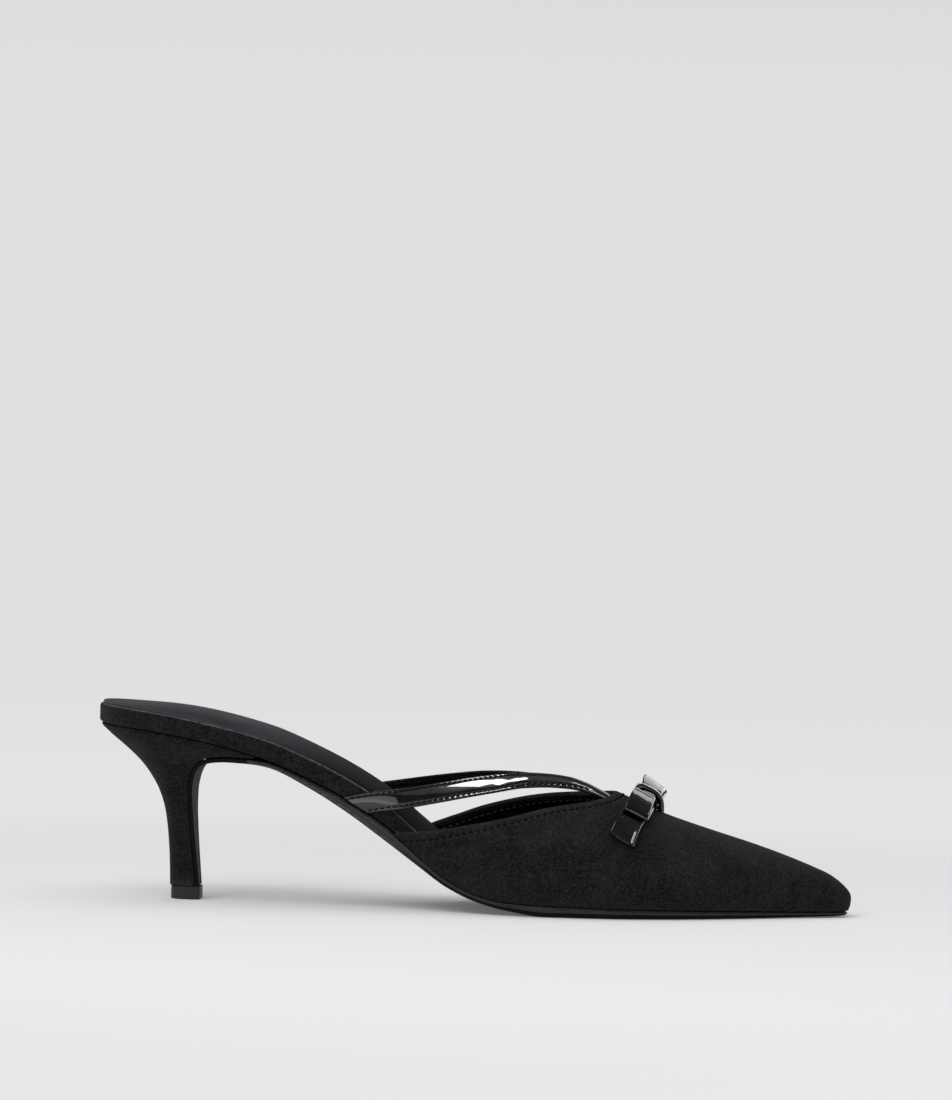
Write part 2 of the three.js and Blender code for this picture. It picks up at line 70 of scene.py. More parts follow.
# Lengths are in millimetres until a mesh is made. Stations are lengths from the heel's back,
# side -1 is the outer side of the foot and side 1 the inner one.
mm = 0.001
shoe = {
    "length": 250.0, "seam": 0.3, "boardTip": 247.3, "seatDepth": 35.0, "seatSquareness": 2.2,
    "tipDepth": 5.0, "wall": 1.6, "widestShare": 0.84, "spineEnd": 241.0, "ridgeSoftness": 0.14,
    "throat": 172.0, "outerCorner": 101.0, "innerCorner": 104.0,
}


def calmCurve(at, values):
    step = np.diff(values) / np.diff(at)
    before, after = np.append(step[0], step), np.append(step, step[-1])
    total = np.where(before + after == 0, 1, before + after)
    slope = np.where(before * after > 0, 2 * before * after / total, 0)

    def curve(where):
        x = np.clip(where, at[0], at[-1])
        i = np.clip(np.searchsorted(at, x) - 1, 0, len(at) - 2)
        width = at[i + 1] - at[i]
        t = (x - at[i]) / width
        blend = t * t * (3 - 2 * t)
        lift = width * t * (1 - t) * ((1 - t) * slope[i] - t * slope[i + 1])
        return values[i] + (values[i + 1] - values[i]) * blend + lift

    return curve


def curvesOf(rows):
    table = np.array(rows, float)
    return [calmCurve(table[:, 0], column) for column in table[:, 1:].T]


# station: sole seam's height, insole board's thickness, tread's height
feather, boardThick, tread = curvesOf([
    (0, 58.2, 6.3, 56.0), (20, 56.3, 6.2, 54.0), (40, 52.8, 6.2, 50.0), (57, 48.2, 6.5, 46.4),
    (70, 42.9, 6.7, 40.0), (84, 36.1, 6.8, 31.6), (97, 28.0, 6.9, 22.6), (108, 19.0, 6.8, 14.8),
    (118, 11.3, 6.4, 8.2), (128, 6.6, 5.8, 3.9), (138, 4.6, 5.2, 1.5), (150, 4.1, 4.6, 0),
    (185, 3.5, 4, 0), (214, 2.9, 3.6, 0), (232, 2.4, 3.2, 0.2), (250, 2.2, 3, 0.6),
])

# station: half width of the board on the outer and the inner side
planOuter, planInner = curvesOf([
    (0, 26, 26), (35, 26, 26), (60, 25.2, 24.4), (80, 24.2, 21.4), (100, 25.2, 20.2),
    (120, 28.6, 23.2), (140, 33, 29.6), (155, 35, 33.8), (170, 34.6, 35.4), (185, 31.2, 34.4),
    (200, 25, 30.2), (215, 16.8, 23.2), (230, 8, 14.2), (240, 2.7, 8.5), (247.5, -0.6, 5),
])

# station: ridge of the upper, height of its widest line over the seam, bulge and fullness there
ridge, widest, bulge, fullness = curvesOf([
    (80, 56, 7, 0.6, 1.9), (100, 51.5, 8, 1, 1.85), (120, 47.6, 9, 2, 1.72),
    (135, 45.8, 9, 2.4, 1.58), (148, 45.1, 8.5, 2.4, 1.5), (155, 44.4, 8, 2.4, 1.48),
    (162, 42.8, 8, 2.3, 1.48), (168, 41, 8, 2.2, 1.5), (172, 39.4, 7.5, 2.1, 1.52),
    (177, 37.4, 7, 2, 1.56), (183, 34.7, 7, 1.8, 1.62), (188, 32.6, 6.5, 1.7, 1.66),
    (195, 30.2, 6, 1.6, 1.72), (206, 26.8, 5.5, 1.3, 1.84), (218, 23.2, 5, 1.1, 1.98),
    (229, 19.5, 4.5, 0.9, 2.12), (241, 14.8, 4, 0.8, 2.3), (250, 10.6, 3.8, 0.8, 2.4),
])

# station: height of the upper's top edge on the outer and the inner side
topOuter, topInner = curvesOf([
    (101, 25.6, 24.4), (104, 25.4, 23.3), (109, 25.7, 24.9), (118, 27.1, 28.4), (127, 28.9, 31.8),
    (135, 30.6, 34.2), (143, 32.7, 36.1), (150, 34.6, 37.2), (156, 35.7, 37.8), (162, 36.6, 38.3),
    (168, 37.8, 38.9), (172, 39.4, 39.4),
])


def ease(x, low, high):
    t = np.clip((x - low) / (high - low), 0, 1)
    return t * t * (3 - 2 * t)


def mix(a, b, share):
    return a + (b - a) * share


def bell(distance, width):
    return np.exp(-(distance / width) ** 2)


def place(station, y, z):
    return np.stack(np.broadcast_arrays(station - shoe["length"] / 2, y, z), -1).astype(float)


def unit(v):
    return v / np.maximum(np.linalg.norm(v, axis=-1, keepdims=True), 1e-12)


def centreLine(station):
    return (planInner(station) - planOuter(station)) / 2


def boardEdge(side, station):
    back = np.maximum(0, 1 - station / shoe["seatDepth"])
    front = np.clip(1 - (shoe["boardTip"] - station) / shoe["tipDepth"], 0, 1)
    full = (planInner(station) + planOuter(station)) / 2
    half = full * np.sqrt(np.maximum(0, 1 - back ** shoe["seatSquareness"])) * np.sqrt(1 - front ** 2)
    return centreLine(station) + side * half


def boardLoop(turn):  # 0 is the heel's back, 1 the tip, 2 the back again along the inner side
    wrapped = np.mod(turn, 2.0)
    side = np.where(wrapped <= 1, -1.0, 1.0)
    share = np.where(wrapped <= 1, wrapped, 2 - wrapped)
    station = shoe["boardTip"] * (1 - np.cos(np.pi * share)) / 2
    return station, boardEdge(side, station)


def boardOffset(turn, distance):
    step = 1e-4
    backX, backY = boardLoop(turn - step)
    aheadX, aheadY = boardLoop(turn + step)
    station, y = boardLoop(turn)
    run = np.hypot(aheadX - backX, aheadY - backY)
    return station + distance * (aheadY - backY) / run, y + distance * (backX - aheadX) / run


def turnAt(side, station):
    share = np.arccos(1 - 2 * station / shoe["boardTip"]) / np.pi
    return np.where(np.asarray(side) < 0, share, 2 - share)


def sectionRise(reach, full):
    soft = shoe["ridgeSoftness"] ** full
    spreadOut = (reach ** 2 + shoe["ridgeSoftness"] ** 2) ** (full / 2) - soft
    whole = (1 + shoe["ridgeSoftness"] ** 2) ** (full / 2) - soft
    return np.maximum(0, 1 - spreadOut / whole) ** (1 / full)


def upperPoint(turn, around, depth):  # around is 0 on the ridge and 1 at the seam
    turn, around, depth = np.broadcast_arrays(turn, around, depth)
    station = boardLoop(turn)[0]
    out = bulge(station)
    grow = shoe["seam"] + shoe["wall"] + out - depth
    low = feather(station) + widest(station)
    share = shoe["widestShare"]
    drop = np.clip((around - share) / (1 - share), 0, None)
    sideX, sideY = boardOffset(turn, grow - out * drop ** 2)
    wallPoint = place(sideX, sideY, mix(low, feather(sideX) + shoe["seam"] / 2, drop))
    full = fullness(station)
    reach = np.sin(np.clip(around / share, 0, 1) * np.pi / 2) ** (2 / full)
    spine = np.minimum(station, shoe["spineEnd"])
    edgeX, edgeY = boardOffset(turn, grow)
    x = mix(spine, edgeX, reach)
    y = mix(centreLine(spine), edgeY, reach)
    crown = place(x, y, low + (ridge(x) - depth - low) * sectionRise(reach, full))
    return np.where((around > share)[..., None], wallPoint, crown)


def aroundAt(turn, height):
    above, below = np.zeros_like(turn), np.ones_like(turn)
    for _ in range(40):
        middle = (above + below) / 2
        high = upperPoint(turn, middle, 0)[..., 2] > height
        above, below = np.where(high, middle, above), np.where(high, below, middle)
    return (above + below) / 2


def overUpper(station, sideways, lift):
    side = np.where(sideways < 0, -1.0, 1.0)
    half = side * (boardEdge(side, station) - centreLine(station)) + shoe["seam"] + shoe["wall"]
    reach = np.minimum(1, np.abs(sideways) / (half + bulge(station)))
    angle = np.arcsin(reach ** (fullness(station) / 2))
    return upperPoint(turnAt(side, station), angle * 2 / np.pi * shoe["widestShare"], -lift)


# Meshes from grids of points
def gridFaces(rows, across, start, loopRows, loopAcross):
    i = np.arange(rows if loopRows else rows - 1)[:, None]
    j = np.arange(across if loopAcross else across - 1)[None, :]
    nextI, nextJ = (i + 1) % rows, (j + 1) % across
    corners = [i * across + j, nextI * across + j, nextI * across + nextJ, i * across + nextJ]
    return start + np.stack(np.broadcast_arrays(*corners), -1).reshape(-1, 4)


def makePiece(name, grids, body="root", weld=2e-3, sharp=50, attributes=()):
    points, faces, skins = [], [], []
    start = 0
    values = {key: [] for key in attributes}
    for grid in grids:
        spots = grid["points"]
        rows, across = spots.shape[:2]
        cells = gridFaces(rows, across, start, *grid.get("loop", (False, False)))
        points.append(spots.reshape(-1, 3))
        faces.append(cells)
        skins += [grid.get("finish", 0)] * len(cells)
        for key in attributes:
            values[key].append(np.broadcast_to(grid.get(key, 0.0), (rows, across)).reshape(-1))
        start += rows * across
    mesh = bpy.data.meshes.new(name)
    mesh.from_pydata((np.concatenate(points) * mm).tolist(), [], np.concatenate(faces).tolist())
    mesh.polygons.foreach_set("material_index", skins)
    for key in attributes:
        layer = mesh.attributes.new(key, "FLOAT", "POINT")
        layer.data.foreach_set("value", np.concatenate(values[key]).astype(np.float32))
    work = bmesh.new()
    work.from_mesh(mesh)
    bmesh.ops.remove_doubles(work, verts=work.verts, dist=weld * mm)
    bmesh.ops.dissolve_degenerate(work, edges=work.edges, dist=weld * mm / 4)
    bmesh.ops.recalc_face_normals(work, faces=work.faces)
    if work.calc_volume(signed=True) < 0:
        bmesh.ops.reverse_faces(work, faces=work.faces)
    work.to_mesh(mesh)
    work.free()
    mesh.polygons.foreach_set("use_smooth", [True] * len(mesh.polygons))
    mesh.set_sharp_from_angle(angle=math.radians(sharp))
    piece = bpy.data.objects.new(name, mesh)
    bpy.context.scene.collection.objects.link(piece)
    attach(piece, body)
    return piece


def closeEnds(rings, depth, steps=5, bothEnds=True):  # rings round over to a point at their ends
    def dome(ring, following):
        middle = ring.mean(0)
        out = unit(middle - following.mean(0))
        turns = np.linspace(0, np.pi / 2, steps + 1)[1:]
        return [middle + (ring - middle) * math.cos(t) + out * depth * math.sin(t) for t in turns]

    first = dome(rings[0], rings[1])[::-1] if bothEnds else []
    last = dome(rings[-1], rings[-2])
    return np.array(first + list(rings) + last)


def fanOf(line):  # closes a curved end with faces from its first point
    return np.stack([line, np.repeat(line[:1], len(line), 0)])


def treeOf(piece):
    work = bmesh.new()
    work.from_mesh(piece.data)
    tree = BVHTree.FromBMesh(work)
    work.free()
    return tree


def resample(line, pitch):
    lengths = np.append(0, np.cumsum(np.linalg.norm(np.diff(line, axis=0), axis=1)))
    count = max(2, int(round(lengths[-1] / pitch)))
    at = (np.arange(count) + 0.5) * lengths[-1] / count

    def along(where):
        return np.stack([np.interp(where, lengths, line[:, k]) for k in range(3)], -1)

    step = 0.05
    return along(at), unit(along(at + step) - along(at - step))


stitch = {"pitch": 2.0, "length": 1.5, "radius": 0.27, "rise": 0.1, "sides": 8, "steps": 8,
          "taper": 0.55, "dip": 0.35, "flatness": 0.8}


def stitchPoints(spots, directions, normals, settings):
    turns = np.linspace(0, np.pi, settings["steps"] + 1)
    angles = np.linspace(0, 2 * np.pi, settings["sides"], endpoint=False)
    run = -np.cos(turns) * settings["length"] / 2
    girth = settings["radius"] * np.clip(np.sin(turns), 0, None) ** settings["taper"]
    lift = settings["rise"] - settings["dip"] * settings["radius"] * np.abs(np.cos(turns)) ** 3
    crossings = np.cross(normals, directions)
    grids = []
    for spot, way, up, cross in zip(spots, directions, normals, crossings):
        centre = spot + run[:, None] * way + lift[:, None] * up
        ring = np.cos(angles)[:, None] * cross + settings["flatness"] * np.sin(angles)[:, None] * up
        grids.append({"points": centre[:, None] + girth[:, None, None] * ring, "loop": (False, True)})
    return grids


def stitchRow(name, line, tree, settings=stitch):
    spots, directions = resample(line, settings["pitch"])
    found = [tree.find_nearest(Vector(spot * mm)) for spot in spots]
    spots = np.array([hit[0] for hit in found]) / mm
    normals = np.array([hit[1] for hit in found])
    directions = unit(directions - normals * (directions * normals).sum(1, keepdims=True))
    return makePiece(name, stitchPoints(spots, directions, normals, settings), weld=1e-3, sharp=80)


# The vamp: suede wall with a turned edge, and its lining
vampShape = {
    "openRows": 90, "aheadRows": 110, "noseRows": 26, "edgeColumns": 22, "edgeWidth": 5.2, "columns": 46,
    "hem": 2.5, "hemFade": 0.9, "hemLift": 0.13, "groove": 0.3, "grooveWidth": 0.5, "stitchInset": 2.3,
    "edgeWear": 1.0, "rowWear": 0.7, "rowWidth": 0.9, "rimShare": 0.8, "rimSteps": 12, "footSteps": 6,
    "footDrop": 0.35, "liningDepth": 0.35, "liningSink": 0.05, "liningStart": 6, "weld": 0.01,
}


def topLine(side, count):
    corner = shoe["outerCorner"] if side < 0 else shoe["innerCorner"]
    share = np.linspace(0, 1, count + 1)
    stations = mix(corner, shoe["throat"], np.sin(share * np.pi / 2) ** 0.9)
    turns = turnAt(side, stations)
    height = (topOuter if side < 0 else topInner)(stations)
    starts = np.where(stations >= shoe["throat"], 0, aroundAt(turns, height))
    return turns, starts


def vampRows(side):
    openTurns, openStarts = topLine(side, vampShape["openRows"])
    share = np.linspace(0, 1, vampShape["aheadRows"] + 1)[1:]
    ahead = mix(shoe["throat"], shoe["spineEnd"], share ** 1.35)
    nose = mix(turnAt(side, shoe["spineEnd"]), 1.0, np.linspace(0, 1, vampShape["noseRows"] + 1)[1:])
    turns = np.concatenate([openTurns, turnAt(side, ahead), nose])
    starts = np.concatenate([openStarts, np.zeros(len(ahead) + len(nose))])
    return turns, starts


def vampGrid(side, depthOf):
    turns, starts = vampRows(side)
    step, at = 1e-3, np.maximum(starts, 0.02)
    perMm = step / np.linalg.norm(upperPoint(turns, at + step, 0) - upperPoint(turns, at, 0), axis=-1)
    edge = np.linspace(0, 1, vampShape["edgeColumns"] + 1)
    rest = np.linspace(0, 1, vampShape["columns"] + 1)[1:]
    reach = np.minimum(vampShape["edgeWidth"] * perMm, 0.4 * (1 - starts))
    near = starts[:, None] + reach[:, None] * edge
    far = mix(near[:, -1:], 1.0, rest)
    arounds = np.concatenate([near, far], 1)
    return upperPoint(turns[:, None], arounds, depthOf), turns, starts, perMm


def edgeDistance(points, line):
    spots, batch = points.reshape(-1, 3), 20
    best = np.full(len(spots), np.inf)
    for begin in range(0, len(line), batch):
        gap = spots[:, None] - line[None, begin:begin + batch]
        best = np.minimum(best, np.sqrt((gap ** 2).sum(-1)).min(1))
    return best.reshape(points.shape[:-1])


def vampRelief(distance):  # the turned hem stands proud, with the thread's groove along it
    hemEnd = vampShape["hem"] + vampShape["hemFade"]
    hem = vampShape["hemLift"] * (1 - ease(distance, vampShape["hem"], hemEnd))
    groove = vampShape["groove"] * bell(distance - vampShape["stitchInset"], vampShape["grooveWidth"])
    return hem - groove


def vampCreases(points):  # soft troughs over the ball and beside the throat, by station and height
    troughs = [  # station, sideways, half length, half width, depth
        (158, -30, 16, 3.2, 0.22), (176, -31, 18, 3.6, 0.2), (193, -24, 15, 3, 0.16),
        (150, 30, 15, 3.4, 0.2), (170, 33, 17, 3.4, 0.18), (214, -12, 12, 4, 0.12),
    ]
    station, y = points[..., 0] + shoe["length"] / 2, points[..., 1]
    ahead, aside = 0.93, 0.36  # the direction in which a trough runs
    total = np.zeros(points.shape[:-1])
    for at, sideways, reach, width, depth in troughs:
        turned = aside * np.sign(sideways)
        along = (station - at) * ahead + (y - sideways) * turned
        across = (y - sideways) * ahead - (station - at) * turned
        total += depth * bell(along, width) * bell(across, reach)
    return total


def vampRim(side, outside, inside, starts, perMm):  # the wall's rounded top edge and its flat foot
    opened = vampShape["openRows"] + 1
    arc = np.linspace(0, np.pi, vampShape["rimSteps"] + 1)
    half = (shoe["wall"] + vampShape["hemLift"]) / 2
    depth = half * (1 - np.cos(arc)) - vampShape["hemLift"]
    over = half * np.sin(arc)[None] * perMm[:opened, None] * vampShape["rimShare"]
    arounds = np.maximum(starts[:opened, None] - over, 0)
    rim = upperPoint(topLine(side, vampShape["openRows"])[0][:, None], arounds, depth)
    rim[:, 0], rim[:, -1] = outside[:opened, 0], inside[:opened, 0]
    foot = np.linspace(0, 1, vampShape["footSteps"] + 1)
    under = mix(outside[:, -1:], inside[:, -1:], foot[None, :, None])
    under[..., 2] -= vampShape["footDrop"] * np.sin(foot * np.pi)[None]
    return rim, under


def suedeParts(side, edgeLine):
    plain, _, starts, perMm = vampGrid(side, 0)
    distance = edgeDistance(plain, edgeLine)
    outside = vampGrid(side, vampCreases(plain) - vampRelief(distance))[0]
    inside = vampGrid(side, shoe["wall"])[0]
    rim, under = vampRim(side, outside, inside, starts, perMm)
    row = bell(distance - vampShape["stitchInset"], vampShape["rowWidth"])
    wear = np.maximum(np.exp(-distance / vampShape["edgeWear"]), vampShape["rowWear"] * row)
    return [
        {"points": outside, "wear": wear}, {"points": inside}, {"points": rim, "wear": 1.0},
        {"points": under, "wear": 0.3}, {"points": np.stack([outside[0], inside[0]]), "wear": 0.5},
        {"points": fanOf(rim[0]), "wear": 1.0}, {"points": fanOf(under[0]), "wear": 0.3},
    ]


def liningParts(side):  # a closed skin, half sunk in the wall, that ends below the turned edge
    opened, start = vampShape["openRows"] + 1, vampShape["liningStart"]
    lower = vampGrid(side, shoe["wall"] + vampShape["liningDepth"])[0]
    upper = vampGrid(side, shoe["wall"] - vampShape["liningSink"])[0]
    for skin in (lower, upper):
        skin[:opened, :start] = skin[:opened, start:start + 1]
    return [
        {"points": lower}, {"points": upper}, {"points": np.stack([upper[0], lower[0]])},
        {"points": np.stack([upper[:opened + 1, 0], lower[:opened + 1, 0]], 1)},
        {"points": np.stack([upper[:, -1], lower[:, -1]], 1)},
    ]


def makeVamp():
    outer, inner = [upperPoint(*topLine(side, 400), 0) for side in (-1, 1)]
    edgeLine = np.concatenate([outer, inner[::-1][1:]])
    suedeGrids = suedeParts(-1, edgeLine) + suedeParts(1, edgeLine)
    suede = makePiece("vamp_suede", suedeGrids, weld=vampShape["weld"], attributes=("wear",), sharp=70)
    lining = makePiece("vamp_lining", liningParts(-1) + liningParts(1), sharp=70)
    return suede, lining, edgeLine


vampSuede, vampLining, topEdge = makeVamp()
vampTree = treeOf(vampSuede)
print("vamp made,", len(vampSuede.data.polygons), "faces")


def makeTopStitches():  # the row runs below the edge, down the wall's own face
    run = unit(np.gradient(topEdge, axis=0))
    nudge, downwards = np.array([0.4, 0, 0]), np.array([0.85, 0, -1.0])
    faces = np.array([vampTree.find_nearest(Vector((spot + nudge) * mm))[1] for spot in topEdge])
    across = unit(np.cross(faces, run))
    across *= np.where(across @ downwards < 0, -1, 1)[:, None]
    row = topEdge + across * vampShape["stitchInset"]
    return row, row - faces * (shoe["wall"] + 2 * vampShape["liningDepth"])


topStitchLine, innerStitchLine = makeTopStitches()
vampStitch = dict(stitch, pitch=2.3, length=1.4, radius=0.36, rise=0.17)
stitchRow("vamp_stitches", topStitchLine, vampTree, vampStitch)
stitchRow("vamp_inner_stitches", innerStitchLine, treeOf(vampLining), vampStitch)

# Insole board with its covered edge, and the padded sock
insoleShape = {"rows": 200, "edgeRound": 1.3, "lowRound": 0.9, "arc": 8, "across": 14}


def joinSides(outer, inner, across, crown=None):  # both edges and what bridges them, as closed rings
    share = np.linspace(0, 1, across + 2)[1:-1][None, :, None]
    far = mix(outer[:, -1:], inner[:, -1:], share)
    if crown:
        far[..., 2] += crown(far[..., 0] + shoe["length"] / 2, 2 * share[..., 0] - 1)
    near = mix(inner[:, :1], outer[:, :1], share)
    return np.concatenate([outer, far, inner[:, ::-1], near], 1)


def boardEdgeRings(turns, profile):
    rings = []
    for inset, height in profile:
        x, y = boardOffset(turns, -inset)
        rings.append(place(x, y, height(x)))
    return np.stack(rings, 1)


def boardSection(turns, profile, across, crown=None):
    return joinSides(boardEdgeRings(turns, profile), boardEdgeRings(2 - turns, profile), across, crown)


def roundedEdge(low, high, lowRound, highRound, steps):  # insets and heights, from the foot up
    profile = []
    for t in np.linspace(0, np.pi / 2, steps + 1):
        profile.append((lowRound * (1 - math.sin(t)),
                        lambda x, t=t: low(x) + lowRound * (1 - math.cos(t))))
    for t in np.linspace(0, np.pi / 2, steps + 1):
        profile.append((highRound * (1 - math.cos(t)),
                        lambda x, t=t: high(x) - highRound * (1 - math.sin(t))))
    return profile


def boardLow(station):
    return feather(station) + shoe["seam"] / 2


def boardHigh(station):
    return boardLow(station) + boardThick(station)


def makeInsole():
    turns = np.linspace(0, 1, insoleShape["rows"] + 1)
    profile = roundedEdge(boardLow, boardHigh, insoleShape["lowRound"], insoleShape["edgeRound"],
                          insoleShape["arc"])
    rings = boardSection(turns, profile, insoleShape["across"])
    wear = np.zeros(rings.shape[:2])
    steps = insoleShape["arc"]
    highCorner = slice(steps + 1 + steps // 2, 2 * steps + 2)
    wear[:, highCorner] = 1.0
    mirrored = 2 * len(profile) + insoleShape["across"]
    wear[:, mirrored - highCorner.stop:mirrored - highCorner.start] = 1.0
    return makePiece("insole_band", [{"points": rings, "loop": (False, True), "wear": wear}],
                     attributes=("wear",), sharp=60)


makeInsole()

sockShape = {"inset": 1.1, "edge": 0.6, "crown": 1.9, "front": 238.0, "rows": 240, "across": 44,
             "round": 0.5, "lowRound": 0.1, "arc": 5, "dome": 0.2, "seat": 0.3, "frontDrop": 0.6,
             "wave": 0.16, "waveRate": 0.9, "waveDrift": 2.2, "driftRate": 0.21}


def makeSock():
    def low(x):
        return boardHigh(x) + shoe["seam"] * sockShape["seat"]

    def high(x):
        return boardHigh(x) + shoe["seam"] + sockShape["edge"]

    def crown(station, across):
        front = 1 - sockShape["frontDrop"] * ease(station, 120, 170)
        back = ease(station, 0, 40)
        edge = 1 - np.abs(across) ** 3
        drift = sockShape["waveDrift"] * np.sin(station * sockShape["driftRate"])
        wave = sockShape["wave"] * np.sin(station * sockShape["waveRate"] + drift) * np.abs(across) ** 6
        wave = wave * ease(station, 22, 36) * (1 - ease(station, 118, 130))
        return sockShape["crown"] * front * back * edge + wave * edge ** 0.3

    turns = np.linspace(0, float(turnAt(-1, sockShape["front"])), sockShape["rows"] + 1)
    profile = roundedEdge(low, high, sockShape["lowRound"], sockShape["round"], sockShape["arc"])
    profile = [(inset + sockShape["inset"], height) for inset, height in profile]
    rings = boardSection(turns, profile, sockShape["across"], crown)
    points = closeEnds(rings, sockShape["dome"], bothEnds=False)  # they meet at the heel's back by themselves
    return makePiece("sock_pad", [{"points": points, "loop": (False, True)}], sharp=60)


makeSock()
print("insole and sock made")

# Heel block, sole and top piece
heelBackX, heelBackZ, heelBreastX, heelBreastZ, heelHalf = curvesOf([
    (0, 24.5, 4.6, 33, 4.6, 5), (1, 24.3, 11, 32.4, 11, 5.6), (2, 23.9, 18, 31.7, 18, 6.6),
    (3, 23.2, 25, 31.1, 24.8, 7.9), (4, 22.1, 31, 30.7, 30.6, 9.4), (5, 20.2, 36.4, 30.6, 35.8, 11.3),
    (6, 17.6, 41, 31.2, 40.6, 13.6), (7, 14.4, 45.2, 32.8, 44.6, 16.4),
    (8, 10.9, 48.6, 35.6, 46.9, 19.2), (9, 7.6, 51.4, 39.6, 48.1, 21.6),
    (10, 4.7, 53.7, 44.4, 48.5, 23.3), (11, 2.5, 55.6, 49.2, 48.3, 24.3),
    (12, 0.9, 57.1, 52.8, 48.2, 24.8), (13, 0.6, 57.9, 54.4, 48.6, 25),
])
heelShape = {"topLevel": 13.0, "rings": 150, "around": 44, "corner": 0.75, "topRound": 1.0, "topHalf": 25.0,
             "levelHeight": 2.6, "topRings": 6, "footRound": 0.52, "seatRound": 0.645, "cornerSteps": 6,
             "cornerWear": 0.22, "footWear": 0.3, "footWearLevel": 0.25}


def heelPoint(level, share, y):
    top = heelShape["topLevel"]
    topStation = mix(heelBackX(top), heelBreastX(top), share)
    topChord = mix(heelBackZ(top), heelBreastZ(top), share)
    arch = feather(topStation) - shoe["seam"] / 2 - topChord
    station = mix(heelBackX(level), heelBreastX(level), share)
    height = mix(heelBackZ(level), heelBreastZ(level), share)
    return place(station, y, height + arch * (level / top) ** 3)


def heelRing(level):
    half = heelHalf(level)
    angle = np.linspace(-np.pi / 2, np.pi / 2, heelShape["around"] + 1)
    roundShare = mix(heelShape["footRound"], heelShape["seatRound"], level / heelShape["topLevel"])
    backShare = roundShare * (1 - np.clip(np.cos(angle), 0, 1) ** (2 / shoe["seatSquareness"]))
    depth = heelBreastX(level) - heelBackX(level)
    corner = heelShape["corner"]
    turn = np.linspace(0, np.pi / 2, heelShape["cornerSteps"] + 1)
    cornerShare = 1 - corner / depth * (1 - np.sin(turn))
    cornerY = half - corner * (1 - np.cos(turn))
    sideShare = np.linspace(roundShare, 1 - corner / depth, 8)[1:-1]
    sideY = np.full(len(sideShare), half)
    breastY = np.linspace(1, -1, 13)[1:-1] * (half - corner)
    shares = [backShare, sideShare, cornerShare, np.ones(len(breastY)), cornerShare[::-1], sideShare[::-1]]
    ys = [half * np.sin(angle), sideY, cornerY, breastY, -cornerY[::-1], -sideY]
    return heelPoint(level, np.clip(np.concatenate(shares), 0, 1), np.concatenate(ys))


def towardsMiddle(ring, share):
    return mix(ring.mean(0), ring, share)


def makeHeel():
    levels = np.linspace(0, heelShape["topLevel"], heelShape["rings"] + 1)
    rings = [heelRing(level) for level in levels]
    soft, count = heelShape["topRound"], heelShape["topRings"]
    for k in range(-count, 0):  # the top edge turns in below the band
        turn = (k + count + 1) / count * np.pi / 2
        level = levels[-1] - soft / heelShape["levelHeight"] * (1 - math.sin(turn))
        rings[k] = towardsMiddle(heelRing(level), 1 - soft * (1 - math.cos(turn)) / heelShape["topHalf"])
    capLow = [towardsMiddle(rings[0], share) for share in (0.0, 0.5, 0.9, 0.97)]
    capHigh = [towardsMiddle(rings[-1], share) for share in (0.9, 0.5, 0.0)]
    points = np.array(capLow + rings + capHigh)
    spread = np.concatenate([np.full(len(capLow), levels[0]), levels, np.full(len(capHigh), levels[-1])])
    wear = np.zeros(points.shape[:2])
    firstCorner = heelShape["around"] + 1 + heelShape["cornerSteps"] + 3
    wear[:, firstCorner:firstCorner + 4] = heelShape["cornerWear"]
    wear[:, -13:-9] = heelShape["cornerWear"]
    wear = np.maximum(wear, np.exp(-spread[:, None] / heelShape["footWearLevel"]) * heelShape["footWear"])
    return makePiece("heel_cover", [{"points": points, "loop": (False, True), "wear": wear}],
                     attributes=("wear",), sharp=55)


makeHeel()

soleShape = {"gap": 0.4, "join": 57.5, "waistReach": -0.3, "frontReach": 1.5, "flap": 1.3,
             "flapStart": 11.6, "rows": 220, "flapRows": 110, "across": 26, "arc": 6,
             "bottomRound": 2.3, "roundShare": 0.62, "roundWidth": 1.5, "topRound": 0.42, "bulge": 0.3,
             "leastWall": 0.06, "edgeColumns": 11, "easeReach": 12.0, "easeWidth": 6.0,
             "flapTop": 0.15, "flapLow": 0.4, "flapBulge": -0.03}
wallShares = (0.25, 0.5, 0.75)


def soleReach(station):
    return mix(soleShape["waistReach"], soleShape["frontReach"], ease(station, 100, 125))


def soleEdge(turns):  # from the top of the wall down and round to the tread
    station = boardLoop(turns)[0]
    reach = soleReach(station)
    top = soleShape["topRound"]
    whole = feather(station) - tread(station)
    low = np.minimum(soleShape["bottomRound"], soleShape["roundShare"] * whole)
    low = np.minimum(low, whole - soleShape["gap"] - top - soleShape["leastWall"])
    columns = []
    for t in np.linspace(0, np.pi / 2, soleShape["arc"] + 1):
        x, y = boardOffset(turns, reach - top * (1 - math.sin(t)))
        columns.append(place(x, y, feather(x) - soleShape["gap"] - top * (1 - math.cos(t))))
    for share in wallShares:
        x, y = boardOffset(turns, reach + soleShape["bulge"] * math.sin(share * math.pi))
        high, down = feather(x) - soleShape["gap"] - top, tread(x) + low
        columns.append(place(x, y, mix(high, down, share)))
    for t in np.linspace(0, np.pi / 2, soleShape["arc"] + 1):
        x, y = boardOffset(turns, reach - soleShape["roundWidth"] * low * (1 - math.cos(t)))
        columns.append(place(x, y, tread(x) + low * (1 - math.sin(t))))
    return np.stack(columns, 1)


